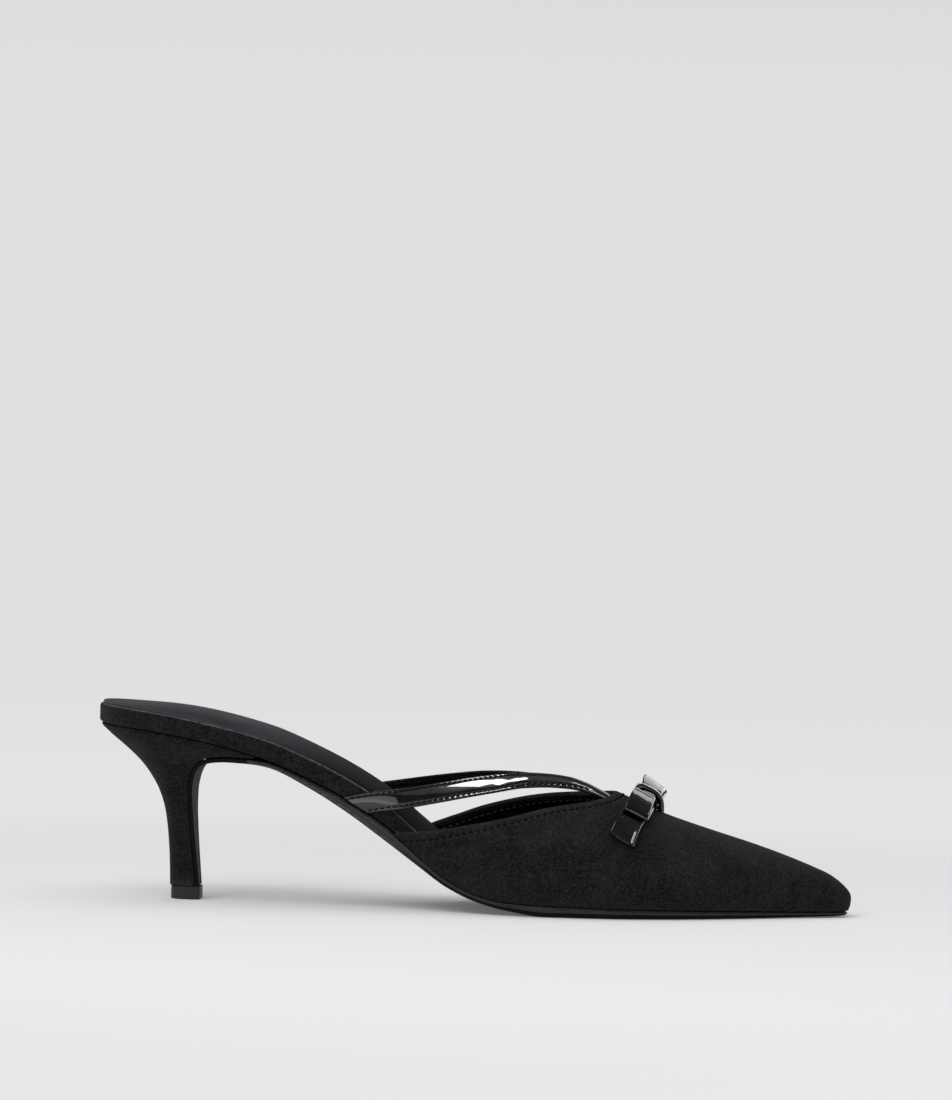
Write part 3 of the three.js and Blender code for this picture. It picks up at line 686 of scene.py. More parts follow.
def flapEdge(level, side):
    step = 0.02
    lowX, lowZ = heelBreastX(np.maximum(0, level - step)), heelBreastZ(np.maximum(0, level - step))
    run = np.hypot(heelBreastX(level + step) - lowX, heelBreastZ(level + step) - lowZ)
    outX = (heelBreastZ(level + step) - lowZ) / run
    outZ = -(heelBreastX(level + step) - lowX) / run
    half = heelHalf(level)
    face = soleShape["flap"]
    top, low = soleShape["flapTop"], soleShape["flapLow"]
    columns = []
    for t in np.linspace(0, np.pi / 2, soleShape["arc"] + 1):
        columns.append((shoe["seam"] + top * (1 - math.cos(t)), top * (1 - math.sin(t))))
    for share in wallShares:
        swell = soleShape["flapBulge"] * math.sin(share * math.pi)
        columns.append((shoe["seam"] + mix(top, face - low, share), swell))
    for t in np.linspace(0, np.pi / 2, soleShape["arc"] + 1):
        columns.append((shoe["seam"] + face - low * (1 - math.sin(t)), low * (1 - math.cos(t))))
    return np.stack([
        place(heelBreastX(level) + off * outX, side * (half - inset), heelBreastZ(level) + off * outZ)
        for off, inset in columns], 1)


def makeSole():
    turns = np.linspace(1, float(turnAt(-1, soleShape["join"])), soleShape["rows"] + 1)
    front = joinSides(soleEdge(turns), soleEdge(2 - turns), soleShape["across"])
    levels = np.linspace(soleShape["flapStart"], 0, soleShape["flapRows"] + 1)
    flap = joinSides(flapEdge(levels, -1), flapEdge(levels, 1), soleShape["across"])
    between = [mix(front[-1], flap[0], share) for share in wallShares]
    rings = np.concatenate([front, between, flap])
    walked = np.append(0, np.cumsum(np.linalg.norm(np.diff(rings.mean(1), axis=0), axis=1)))
    near = bell(walked - walked[len(front)], soleShape["easeReach"])[:, None, None]
    spread = bell(walked[:, None] - walked[None], soleShape["easeWidth"]) * np.gradient(walked)[None]
    eased = np.einsum("ij,jkl->ikl", spread / spread.sum(1, keepdims=True), rings)
    rings = mix(rings, eased, near)
    # share of brown leather on the underside: 1 under the waist; 0 on the flap and ahead of the waist, where
    # the dark colour left under the forefoot is painted shade
    brownAndShade = 1 - ease(rings[..., 0] + shoe["length"] / 2, 92, 116)
    brownAndShade[len(front) + len(between):] = 0
    ends = [towardsMiddle(rings[-1], share) for share in (0.97, 0.6, 0.0)]
    rings, brownAndShade = np.concatenate([rings, ends]), np.concatenate([brownAndShade, brownAndShade[-len(ends):]])
    # the waxed wall and the matt face under it are grids of their own, and so is the flap
    waxed, total = soleShape["edgeColumns"], rings.shape[1]
    last = 4 * (soleShape["arc"] + 1) + 2 * len(wallShares) + soleShape["across"]
    around = np.arange(total + 1) % total
    cuts = [(0, waxed), (waxed, last - waxed), (last - waxed, last), (last, total)]
    lastFront = len(front) + len(between)
    grids = []
    for k, (start, end) in enumerate(cuts):
        columns = around[start:end + 1]
        for rows, finish in ((slice(0, lastFront + 1), k % 2), (slice(lastFront, None), 1)):
            grids.append({"points": rings[rows, columns], "finish": finish, "brownAndShade": brownAndShade[rows, columns]})
    return makePiece("sole_leather", grids, attributes=("brownAndShade",), sharp=45)


soleLeather = makeSole()

topPieceShape = {"height": 4.3, "back": 0.4, "front": 1.9, "side": 0.2, "round": 0.45, "topRound": 0.12,
                 "cornerRound": 0.7}


def topPieceOutline(inset):
    front = heelBreastX(0) + topPieceShape["front"] - inset
    half = heelHalf(0) + topPieceShape["side"] - inset
    corner = topPieceShape["cornerRound"]
    angle = np.linspace(np.pi / 2, 3 * np.pi / 2, 41)
    turn = np.linspace(-np.pi / 2, 0, 7)
    middle = heelBackX(0) + topPieceShape["back"] + heelHalf(0) + topPieceShape["side"]
    sideways = np.linspace(-1, 1, 9)[1:-1] * (half - corner)
    cornerX, cornerY = front - corner + corner * np.cos(turn), -half + corner + corner * np.sin(turn)
    x = np.concatenate([middle + half * np.cos(angle), cornerX, np.full(len(sideways), front), cornerX[::-1]])
    y = np.concatenate([half * np.sin(angle), cornerY, sideways, -cornerY[::-1]])
    return x, y


def makeTopPiece():  # levels are inset, height and share of the outline
    high, soft, fine = topPieceShape["height"], topPieceShape["round"], topPieceShape["topRound"]
    levels = [(soft, 0.0, share) for share in (0.0, 0.5, 0.9)]
    for t in np.linspace(0, np.pi / 2, 7):
        levels.append((soft * (1 - math.sin(t)), soft * (1 - math.cos(t)), 1.0))
    levels += [(0.0, high * share, 1.0) for share in (0.3, 0.5, 0.7, 0.9)]
    for t in np.linspace(0, np.pi / 2, 4):
        levels.append((fine * (1 - math.cos(t)), high - fine * (1 - math.sin(t)), 1.0))
    levels += [(fine, high, share) for share in (0.9, 0.5, 0.0)]
    rings = [towardsMiddle(place(*topPieceOutline(inset), z), share) for inset, z, share in levels]
    return makePiece("top_piece_rubber", [{"points": np.array(rings), "loop": (False, True)}], sharp=50)


makeTopPiece()
print("heel, sole and top piece made")

# Forked strap: two arms that join in a stem, as one skin
topStation, topSide, topHeight, lowStation, lowSide, lowHeight = curvesOf([
    (0, 83.2, 24.3, 36.9, 91.8, 24, 31.7), (1, 91.5, 24, 38.7, 96.5, 24.3, 32.4),
    (2, 99.3, 22.8, 39.8, 102, 24.5, 33.2), (3, 107, 20.3, 41, 108.5, 23.3, 34.5),
    (4, 116, 16.3, 42.5, 117, 20.4, 36.2), (5, 127, 9.9, 44.2, 127.6, 15, 38.2),
    (6, 136, 3.9, 45, 136.8, 9.4, 39.6), (7, 143, 0, 45.1, 143.5, 6.1, 40.3),
    (8, 149, 0, 44.9, 149.4, 5.7, 40.6), (9, 156, 0, 44, 156, 5.4, 40.4),
    (10, 162, 0, 42.1, 162, 5.2, 39.5), (11, 167, 0, 39.7, 167, 5.1, 37.9),
    (12, 172, 0, 37.1, 172, 5.1, 36), (13, 177, 0, 35.1, 177, 5.1, 34),
])
strapShape = {
    "thick": 1.2, "fork": 7.0, "end": 13.0, "arch": 0.5, "innerRise": 1.0, "rows": 420, "columns": 34,
    "arc": 8, "stitchInset": 1.2, "groove": 0.22, "grooveWidth": 0.42, "pucker": 0.34, "weld": 0.01,
    "joinGap": 0.02, "forkBlend": 1.6, "slitBlend": 0.5, "firstStitch": 0.15, "lastTopStitch": 6.5,
    "lastLowStitch": 10.2, "rowPoints": 160,
}


def strapEdges(side, fold):
    hump = np.sin(np.pi * np.minimum(1, fold / strapShape["fork"]))
    rise = strapShape["innerRise"] * hump if side > 0 else 0
    top = place(topStation(fold), centreLine(topStation(fold)) + side * topSide(fold), topHeight(fold) + rise)
    low = place(lowStation(fold), centreLine(lowStation(fold)) + side * lowSide(fold), lowHeight(fold) + rise)
    return top, low


def strapSection(side, folds):  # the outer face from the top edge to the low one, with its normals
    step = 0.05
    top, low = strapEdges(side, folds)
    nextTop, nextLow = strapEdges(side, folds + step)
    lastTop, lastLow = strapEdges(side, folds - step)
    run = nextTop + nextLow - lastTop - lastLow
    out = unit(np.cross(top - low, run)) * side
    stem = ease(folds, strapShape["fork"] - strapShape["forkBlend"], strapShape["fork"])
    drop = top[:, 2] - low[:, 2]
    arch = mix(strapShape["arch"], drop / (4 * out[:, 2]), stem)[:, None, None]
    thick = strapShape["thick"]
    width = np.linalg.norm(top - low, axis=1)
    opened = 1 - ease(folds, strapShape["fork"] - strapShape["slitBlend"], strapShape["fork"])
    first, last = (thick / 2 * opened / width)[:, None], 1 - (thick / 2 / width)[:, None]
    share = mix(first, last, np.linspace(0, 1, strapShape["columns"] + 1)[None])[..., None]
    face = mix(top[:, None], low[:, None], share) + out[:, None] * arch * 4 * share * (1 - share)
    slope = (low - top)[:, None] + out[:, None] * arch * 4 * (1 - 2 * share)
    normal = unit(np.cross(-slope, run[:, None])) * side
    seamless = np.where(opened < 0.98, 100, 0)[:, None]  # no row runs along the stem's middle
    fromTop = share[..., 0] * width[:, None] + seamless
    fromLow = (1 - share[..., 0]) * width[:, None]
    for distance, edge in ((fromTop, top), (fromLow, low)):
        walked = np.append(0, np.cumsum(np.linalg.norm(np.diff(edge, axis=0), axis=1)))[:, None]
        pull = 1 + strapShape["pucker"] * np.cos(walked * 2 * np.pi / stitch["pitch"])
        dent = strapShape["groove"] * bell(distance - strapShape["stitchInset"], strapShape["grooveWidth"])
        fade = 1 - ease(folds[:, None], 9.6, 10.6)
        face = face - normal * (dent * pull * fade)[..., None]
    return face, normal, unit(slope), opened


def strapGrids(side, sections, folds, joined):
    face, normal, slope, opened = sections[side]
    thick = strapShape["thick"]
    back = face - normal * thick
    turn = np.linspace(0, np.pi, strapShape["arc"] + 1)[None, :, None]
    lowEdge = face[:, -1:] - normal[:, -1:] * thick / 2 + thick / 2 * (
        np.cos(turn) * normal[:, -1:] + np.sin(turn) * slope[:, -1:])
    topEdge = face[:, :1] - normal[:, :1] * thick / 2 + thick / 2 * (
        np.cos(turn) * normal[:, :1] - np.sin(turn) * slope[:, :1] * opened[:, None, None])
    dull = ease(folds, 8.1, 9.0)[:, None]
    return [
        {"points": face, "dull": dull}, {"points": back, "finish": 1, "dull": dull},
        {"points": lowEdge, "dull": dull}, {"points": topEdge[:joined + 1]},
        {"points": np.stack([face[0], back[0]])}, {"points": fanOf(lowEdge[0])},
        {"points": fanOf(topEdge[0])}, {"points": np.stack([face[-1], back[-1]]), "dull": 1.0},
        {"points": fanOf(lowEdge[-1]), "dull": 1.0},
    ]


def makeStrap():
    folds = np.linspace(0, strapShape["end"], strapShape["rows"] + 1)
    sections = {side: strapSection(side, folds) for side in (-1, 1)}
    joined = int(np.argmax(topSide(folds) < strapShape["joinGap"]))  # both sides share one line from here
    (outerFace, outerNormal, _, outerOpened), (innerFace, innerNormal, _, innerOpened) = sections.values()
    middle = (outerFace[joined:, 0] + innerFace[joined:, 0]) / 2
    facing = unit(outerNormal[joined:, 0] + innerNormal[joined:, 0])
    outerFace[joined:, 0] = innerFace[joined:, 0] = middle
    outerNormal[joined:, 0] = innerNormal[joined:, 0] = facing
    outerOpened[joined:] = innerOpened[joined:] = 0
    grids = strapGrids(-1, sections, folds, joined) + strapGrids(1, sections, folds, joined)
    return makePiece("strap_patent", grids, weld=strapShape["weld"], sharp=60, attributes=("dull",))


strapPatent = makeStrap()
strapTree = treeOf(strapPatent)


def strapRow(side, fromTop, inner):
    lastFold = strapShape["lastTopStitch" if fromTop else "lastLowStitch"]
    folds = np.linspace(strapShape["firstStitch"], lastFold, strapShape["rowPoints"])
    face, normal, slope, _ = strapSection(side, folds)
    inset = strapShape["stitchInset"] - strapShape["thick"] / 2
    line = face[:, 0] + slope[:, 0] * inset if fromTop else face[:, -1] - slope[:, -1] * inset
    if inner:
        line = line - normal[:, 0 if fromTop else -1] * strapShape["thick"]
    return line


for side, label in ((-1, "outer"), (1, "inner")):
    for inner in (False, True):
        word = "back" if inner else "face"
        stitchRow(f"strap_{label}_{word}_top_stitches", strapRow(side, True, inner), strapTree)
        stitchRow(f"strap_{label}_{word}_low_stitches", strapRow(side, False, inner), strapTree)
print("strap made")

# Bow: two loops, the ribbon with its tails, and the knot
bow = {
    "station": 182.4, "turn": 0.14, "width": 6.2, "flare": 0.16, "thick": 0.8, "hem": 0.17, "hemWidth": 0.5,
    "loopStart": 0.4, "loopReach": 19.0, "loopFall": 0.094, "loopLift": 1.4, "loopRings": 140, "pinch": 1.3,
    "half": 1.65, "puff": 0.75, "crown": 0.24, "spring": 0.345, "springCurve": 1.2, "twist": 0.023,
    "tailReach": 30.0, "tailFall": 0.155, "tailLift": 2.2, "tailCurve": 1.8, "tailHem": 0.36,
    "tailRings": 260, "knotWidth": 6.4, "knotLength": 9.9, "knotHeight": 6.8, "knotThick": 1.7,
    "knotTurn": -0.08, "knotWaist": 0.25, "knotRings": 90,
}


def bowPoint(edge, sideways, lift, fall):
    free = np.maximum(0, np.abs(sideways) - bow["knotWidth"] / 2)
    station = bow["station"] + edge + bow["turn"] * sideways - fall * free
    turn = bow["turn"] - np.sign(sideways) * fall
    return overUpper(station, sideways - turn * edge, lift)


def ribbonSection(width, thick, hem, hemWidth, faceSteps=14, arc=6):  # across, height from mid ribbon
    r = thick / 2
    t = np.linspace(-1, 1, faceSteps + 1) * (width / 2 - r)
    lift = hem * bell(width / 2 - r - np.abs(t), hemWidth)
    turn = np.linspace(np.pi / 2, -np.pi / 2, arc + 1)[1:-1]
    end = r + hem
    across = np.concatenate([t, width / 2 - r + r * np.cos(turn), t[::-1], -width / 2 + r - r * np.cos(turn)])
    height = np.concatenate([r + lift, end * np.sin(turn), -(r + lift[::-1]), -end * np.sin(turn)])
    return across, height


def power(value, exponent):
    return np.sign(value) * np.abs(value) ** exponent


def makeLoop(side, name):
    across, height = ribbonSection(bow["width"], bow["thick"], bow["hem"], bow["hemWidth"])
    angle = np.linspace(0, 2 * np.pi, bow["loopRings"], endpoint=False)[:, None]
    inset = bow["thick"] / 2 - height[None]
    reachHalf = (bow["loopReach"] - bow["loopStart"]) / 2 - inset
    reach = (bow["loopReach"] + bow["loopStart"]) / 2 + reachHalf * power(np.cos(angle), 0.55)
    half = mix(bow["pinch"], bow["half"], ease(reach, bow["knotWidth"] / 2, 7))
    puff = bow["puff"] * np.sin(np.clip((reach - 1) / (bow["loopReach"] - 1), 0, 1) ** 0.75 * np.pi)
    lift = bow["loopLift"] + half + (half - inset) * power(np.sin(angle), 0.65)
    crown = bow["crown"] * (1 - (2 * across[None] / bow["width"]) ** 2)
    lift = lift + (puff + crown) * np.clip(np.sin(angle), 0, 1)
    free = np.maximum(0, reach - bow["knotWidth"] / 2)
    edge = across[None] * (1 + bow["flare"] * ease(reach, 1, 13))
    points = bowPoint(edge, side * reach, lift, bow["loopFall"])
    if side > 0:
        points[..., 2] += bow["spring"] * free ** bow["springCurve"] - bow["twist"] * free * edge
    return makePiece(name, [{"points": points, "loop": (True, True)}], sharp=60)


def makeTails():
    across, height = ribbonSection(bow["width"], bow["thick"], bow["tailHem"], bow["hemWidth"], 30)
    sideways = np.linspace(-bow["tailReach"], bow["tailReach"], bow["tailRings"])[:, None]
    nearEnd = bow["tailReach"] - np.abs(sideways)
    rim = bow["tailHem"] * bell(nearEnd, bow["hemWidth"]) * (height[None] > 0)
    free = np.clip((np.abs(sideways) - bow["knotWidth"]) / (bow["tailReach"] - bow["knotWidth"]), 0, 1)
    lift = shoe["seam"] + bow["thick"] / 2 + height[None] + rim + bow["tailLift"] * free ** bow["tailCurve"]
    edge = across[None] * (1 + bow["flare"] * ease(free, 0, 0.5))
    points = bowPoint(edge, sideways, lift, bow["tailFall"])
    return makePiece("bow_tail_ribbon", [{"points": closeEnds(points, 0.3), "loop": (False, True)}], sharp=60)


def makeKnot():  # a folded band, pinched at its middle
    across, height = ribbonSection(bow["knotWidth"], bow["knotThick"], 0.05, 0.7)
    angle = np.linspace(0, np.pi, bow["knotRings"])[:, None]
    inset = bow["knotThick"] / 2 - height[None]
    waist = bow["knotWaist"] * (1 - (2 * across[None] / bow["knotWidth"]) ** 2) * np.sin(angle)
    half = bow["knotLength"] / 2 - inset - waist
    reach = -half * power(np.cos(angle), 0.7)
    rise = (bow["knotHeight"] - shoe["seam"] - inset - waist) * np.sin(angle) ** 0.55
    swing = (bow["knotTurn"] - bow["turn"]) * across[None]
    points = bowPoint(reach + swing, across[None] + 0 * angle, shoe["seam"] + rise, 0)
    return makePiece("bow_knot_band", [{"points": closeEnds(points, 0.1), "loop": (False, True)}], sharp=60)


makeLoop(-1, "bow_loop_near")
makeLoop(1, "bow_loop_far")
makeTails()
makeKnot()
print("bow made")


# Shared effects, as node groups
def newGroup(name, inputs, outputs):
    group = bpy.data.node_groups.new(name, "ShaderNodeTree")
    for label, kind, value in inputs:
        socket = group.interface.new_socket(label, in_out="INPUT", socket_type=kind)
        if value is not None:
            socket.default_value = value
    for label, kind in outputs:
        group.interface.new_socket(label, in_out="OUTPUT", socket_type=kind)
    return group, group.nodes.new("NodeGroupInput"), group.nodes.new("NodeGroupOutput")


def mathNode(tree, operation, first, second=None):
    node = tree.nodes.new("ShaderNodeMath")
    node.operation = operation
    for socket, value in zip(node.inputs, (first, second)):
        if isinstance(value, (int, float)):
            socket.default_value = value
        elif value is not None:
            tree.links.new(value, socket)
    return node.outputs[0]


def noiseAt(tree, vector, scale, detail=3.0, rough=0.55, distortion=0.0):
    node = tree.nodes.new("ShaderNodeTexNoise")
    fixed = {"Detail": detail, "Roughness": rough, "Distortion": distortion}
    if isinstance(scale, (int, float)):
        fixed["Scale"] = scale
    else:
        tree.links.new(scale, node.inputs["Scale"])
    for label, value in fixed.items():
        node.inputs[label].default_value = value
    tree.links.new(vector, node.inputs["Vector"])
    return node.outputs["Fac"]


def blended(tree, first, firstShare, second, secondShare):
    return mathNode(tree, "ADD", mathNode(tree, "MULTIPLY", first, firstShare),
                    mathNode(tree, "MULTIPLY", second, secondShare))


def objectPoint(tree):
    return tree.nodes.new("ShaderNodeTexCoord").outputs["Object"]


def ranged(tree, value, low, high, outLow=0.0, outHigh=1.0):
    node = tree.nodes.new("ShaderNodeMapRange")
    node.interpolation_type = "SMOOTHSTEP"
    for label, number in (("From Min", low), ("From Max", high), ("To Min", outLow), ("To Max", outHigh)):
        node.inputs[label].default_value = number
    tree.links.new(value, node.inputs["Value"])
    return node.outputs["Result"]


def blendColours(tree, factor, first, second):
    node = tree.nodes.new("ShaderNodeMix")
    node.data_type = "RGBA"
    tree.links.new(factor, node.inputs["Factor"])
    for socket, value in ((node.inputs["A"], first), (node.inputs["B"], second)):
        if isinstance(value, (tuple, list)):
            socket.default_value = (*value[:3], 1)
        else:
            tree.links.new(value, socket)
    return node.outputs["Result"]


def napGroup():  # cloudy tone of a brushed nap, its flecks and its fine height
    group, given, result = newGroup(
        "brushedNap",
        [("Cloud Scale", "NodeSocketFloat", 90.0), ("Fleck Scale", "NodeSocketFloat", 900.0)],
        [("Cloud", "NodeSocketFloat"), ("Fleck", "NodeSocketFloat"), ("Height", "NodeSocketFloat")])
    where = objectPoint(group)
    cloud = noiseAt(group, where, given.outputs["Cloud Scale"], 3, 0.55, 0.5)
    fleck = noiseAt(group, where, given.outputs["Fleck Scale"], 3, 0.75, 0.25)
    fibre = noiseAt(group, where, mathNode(group, "MULTIPLY", given.outputs["Fleck Scale"], 2.3), 3, 0.7, 0.6)
    both = blended(group, fleck, 0.6, fibre, 0.4)
    group.links.new(cloud, result.inputs["Cloud"])
    group.links.new(both, result.inputs["Fleck"])
    group.links.new(both, result.inputs["Height"])
    return group


def wearGroup():  # rubbed spots along an edge, broken up by noise
    group, given, result = newGroup(
        "rubbedEdge",
        [("Edge", "NodeSocketFloat", 0.0), ("Scale", "NodeSocketFloat", 700.0),
         ("Amount", "NodeSocketFloat", 0.5)],
        [("Mask", "NodeSocketFloat")])
    where = objectPoint(group)
    spots = ranged(group, noiseAt(group, where, given.outputs["Scale"], 5, 0.65), 0.35, 0.7, 0.3, 1.0)
    mask = mathNode(group, "MULTIPLY", spots, given.outputs["Edge"])
    mask = mathNode(group, "MULTIPLY", mask, given.outputs["Amount"])
    group.links.new(mask, result.inputs["Mask"])
    return group


def rippleGroup():  # slow waves and faint pores of a coated or smooth leather
    group, given, result = newGroup(
        "leatherRipple",
        [("Wave Scale", "NodeSocketFloat", 120.0), ("Pore Scale", "NodeSocketFloat", 1900.0),
         ("Pore Share", "NodeSocketFloat", 0.1)],
        [("Height", "NodeSocketFloat"), ("Tone", "NodeSocketFloat")])
    where = objectPoint(group)
    wave = noiseAt(group, where, given.outputs["Wave Scale"], 1.5, 0.4)
    cells = group.nodes.new("ShaderNodeTexVoronoi")
    cells.feature = "DISTANCE_TO_EDGE"
    group.links.new(where, cells.inputs["Vector"])
    group.links.new(given.outputs["Pore Scale"], cells.inputs["Scale"])
    pores = ranged(group, cells.outputs["Distance"], 0.0, 0.22)
    height = mathNode(group, "ADD", wave, mathNode(group, "MULTIPLY", pores, given.outputs["Pore Share"]))
    group.links.new(height, result.inputs["Height"])
    group.links.new(wave, result.inputs["Tone"])
    return group


nap, rub, ripple = napGroup(), wearGroup(), rippleGroup()


def newMaterial(name, sockets):
    material = bpy.data.materials.new(name)
    material.use_nodes = True
    shader = material.node_tree.nodes["Principled BSDF"]
    for label, value in sockets.items():
        shader.inputs[label].default_value = value
    return material, material.node_tree, shader


def useGroup(tree, group, values):
    node = tree.nodes.new("ShaderNodeGroup")
    node.node_tree = group
    for label, value in values.items():
        if isinstance(value, (int, float)):
            node.inputs[label].default_value = value
        else:
            tree.links.new(value, node.inputs[label])
    return node


def bumpInto(tree, shader, height, strength, distance):
    node = tree.nodes.new("ShaderNodeBump")
    node.inputs["Strength"].default_value = strength
    node.inputs["Distance"].default_value = distance
    tree.links.new(height, node.inputs["Height"])
    tree.links.new(node.outputs["Normal"], shader.inputs["Normal"])


def attributeOf(tree, name):
    node = tree.nodes.new("ShaderNodeAttribute")
    node.attribute_name = name
    return node.outputs["Fac"]


suedeLook = {
    "dark": (0.0016, 0.0016, 0.0016), "light": (0.0219, 0.0213, 0.0213), "worn": (0.036, 0.0325, 0.032),
    "cloud": 95.0, "fleck": 1300.0, "wear": 0.5, "sheen": 0.05, "cloudShare": 0.24, "tipShare": 0.72,
}
coverLook = dict(
    suedeLook, dark=(0.0016, 0.0015, 0.0016), light=(0.0215, 0.0205, 0.0208), worn=(0.16, 0.142, 0.142),
    cloud=160.0, wear=0.7, sheen=0.04)


def napMaterial(name, look):
    material, tree, shader = newMaterial(name, {
        "Roughness": 0.95, "Sheen Weight": look["sheen"], "Sheen Roughness": 0.5, "Specular IOR Level": 0.1,
        "Sheen Tint": (0.9, 0.88, 0.9, 1)})
    fuzz = useGroup(tree, nap, {"Cloud Scale": look["cloud"], "Fleck Scale": look["fleck"]})
    tone = ranged(tree, fuzz.outputs["Cloud"], 0.34, 0.68)
    tips = ranged(tree, fuzz.outputs["Fleck"], 0.43, 0.59)
    colour = blendColours(
        tree, blended(tree, tone, look["cloudShare"], tips, look["tipShare"]), look["dark"], look["light"])
    edge = {"Edge": attributeOf(tree, "wear"), "Scale": 620.0, "Amount": look["wear"]}
    colour = blendColours(tree, useGroup(tree, rub, edge).outputs["Mask"], colour, look["worn"])
    tree.links.new(colour, shader.inputs["Base Color"])
    bumpInto(tree, shader, fuzz.outputs["Height"], 0.7, 0.0005)
    return material


patentLook = {"dark": (0.002, 0.002, 0.0022), "light": (0.0045, 0.0043, 0.0046),
              "scuffed": (0.013, 0.0128, 0.013), "scuffLoss": 0.78}


def patentMaterial(name, look):
    material, tree, shader = newMaterial(
        name, {"Coat Roughness": 0.02, "Coat IOR": 1.55, "Specular IOR Level": 0.15})
    skin = useGroup(tree, ripple, {"Wave Scale": 170.0, "Pore Scale": 1500.0, "Pore Share": 0.0015})
    tone = ranged(tree, skin.outputs["Tone"], 0.3, 0.7)
    dull = attributeOf(tree, "dull")  # the stem's end is scuffed and less glossy
    colour = blendColours(tree, dull, blendColours(tree, tone, look["dark"], look["light"]), look["scuffed"])
    gloss = mathNode(tree, "SUBTRACT", 1.0, mathNode(tree, "MULTIPLY", dull, look["scuffLoss"]))
    tree.links.new(colour, shader.inputs["Base Color"])
    tree.links.new(gloss, shader.inputs["Coat Weight"])
    tree.links.new(ranged(tree, skin.outputs["Tone"], 0.3, 0.7, 0.16, 0.24), shader.inputs["Roughness"])
    bumpInto(tree, shader, skin.outputs["Height"], 0.25, 0.0006)
    return material


sockLook = {
    "dark": (0.0245, 0.0212, 0.0305), "light": (0.037, 0.0325, 0.0443), "rough": 0.46, "pores": 0.12,
    # front: a darker colour ahead of the waist, painted shade where the strap's shadow falls, and a rougher
    # finish there
    "level": 0.36, "front": {"span": (-0.08, -0.035), "colour": (0.005, 0.0044, 0.0068), "duller": 0.45},
}
liningLook = {
    "dark": (0.0035, 0.0034, 0.004), "light": (0.0065, 0.0063, 0.007), "rough": 0.5, "pores": 0.2,
    "level": 0.14,
}


def liningMaterial(name, look):
    material, tree, shader = newMaterial(name, {"Specular IOR Level": look["level"]})
    skin = useGroup(tree, ripple, {"Wave Scale": 75.0, "Pore Scale": 2300.0, "Pore Share": look["pores"]})
    tone = ranged(tree, skin.outputs["Tone"], 0.3, 0.7)
    colour = blendColours(tree, tone, look["dark"], look["light"])
    matt = ranged(tree, skin.outputs["Tone"], 0.3, 0.7, look["rough"], look["rough"] + 0.1)
    if "front" in look:  # darker and duller ahead of the waist: the darker colour is painted shade, the strap's shadow on the sock, and the duller finish is a rougher surface
        front = look["front"]
        apart = tree.nodes.new("ShaderNodeSeparateXYZ")
        tree.links.new(objectPoint(tree), apart.inputs[0])
        ahead = ranged(tree, apart.outputs["X"], *front["span"])
        colour = blendColours(tree, ahead, colour, front["colour"])
        matt = mathNode(tree, "ADD", matt, mathNode(tree, "MULTIPLY", ahead, front["duller"]))
    tree.links.new(colour, shader.inputs["Base Color"])
    tree.links.new(matt, shader.inputs["Roughness"])
    bumpInto(tree, shader, skin.outputs["Height"], 0.18, 0.00025)
    return material


waxedLook = {"dark": (0.0082, 0.0068, 0.0098), "light": (0.0155, 0.0132, 0.018), "rough": 0.22, "level": 0.42,
             "relief": 0.08}
underLook = {"dark": (0.0026, 0.0023, 0.0023), "light": (0.0062, 0.0056, 0.0054), "rough": 0.6, "level": 0.08,
             "relief": 0.2, "brownAndShade": ((0.037, 0.0335, 0.029), (0.085, 0.078, 0.067))}


def soleMaterial(name, look):
    material, tree, shader = newMaterial(name, {"Specular IOR Level": look["level"]})
    where = objectPoint(tree)
    stretch = tree.nodes.new("ShaderNodeMapping")
    stretch.inputs["Scale"].default_value = (0.12, 0.12, 1.6)
    tree.links.new(where, stretch.inputs["Vector"])
    grain = noiseAt(tree, stretch.outputs["Vector"], 1500.0, 4, 0.6)
    cloud = noiseAt(tree, where, 420.0, 4, 0.65)
    both = blended(tree, grain, 0.5, cloud, 0.5)
    share = ranged(tree, both, 0.38, 0.62)
    colour = blendColours(tree, share, look["dark"], look["light"])
    # the waist's underside is brown; elsewhere the dark colour stays, which under the forefoot is painted
    # shade
    if "brownAndShade" in look:
        warm = blendColours(tree, share, *look["brownAndShade"])
        colour = blendColours(tree, attributeOf(tree, "brownAndShade"), colour, warm)
    tree.links.new(colour, shader.inputs["Base Color"])
    matt = ranged(tree, cloud, 0.3, 0.7, look["rough"], look["rough"] + 0.14)
    tree.links.new(matt, shader.inputs["Roughness"])
    bumpInto(tree, shader, both, look["relief"], 0.0003)
    return material


def rubberMaterial(name, dark, light):
    material, tree, shader = newMaterial(name, {"Specular IOR Level": 0.4})
    where = objectPoint(tree)
    speck = noiseAt(tree, where, 3000.0, 4, 0.6)
    cloud = noiseAt(tree, where, 300.0, 3, 0.6)
    tree.links.new(blendColours(tree, cloud, dark, light), shader.inputs["Base Color"])
    tree.links.new(ranged(tree, cloud, 0.3, 0.7, 0.5, 0.66), shader.inputs["Roughness"])
    bumpInto(tree, shader, speck, 0.3, 0.0002)
    return material


threadLooks = {  # darkest and lightest colour, roughness
    "charcoalThread": ((0.0008, 0.0008, 0.0008), (0.0035, 0.0035, 0.0035), 0.6),
    "liningThread": ((0.018, 0.017, 0.019), (0.045, 0.043, 0.047), 0.5),
    "blackThread": ((0.004, 0.004, 0.004), (0.012, 0.012, 0.012), 0.34),
}


def threadMaterial(name):
    dark, light, rough = threadLooks[name]
    material, tree, shader = newMaterial(name, {"Specular IOR Level": 0.12})
    twist = noiseAt(tree, objectPoint(tree), 5200.0, 2, 0.5)
    tree.links.new(blendColours(tree, twist, dark, light), shader.inputs["Base Color"])
    tree.links.new(ranged(tree, twist, 0.3, 0.7, rough, rough + 0.15), shader.inputs["Roughness"])
    bumpInto(tree, shader, twist, 0.4, 0.0001)
    return material


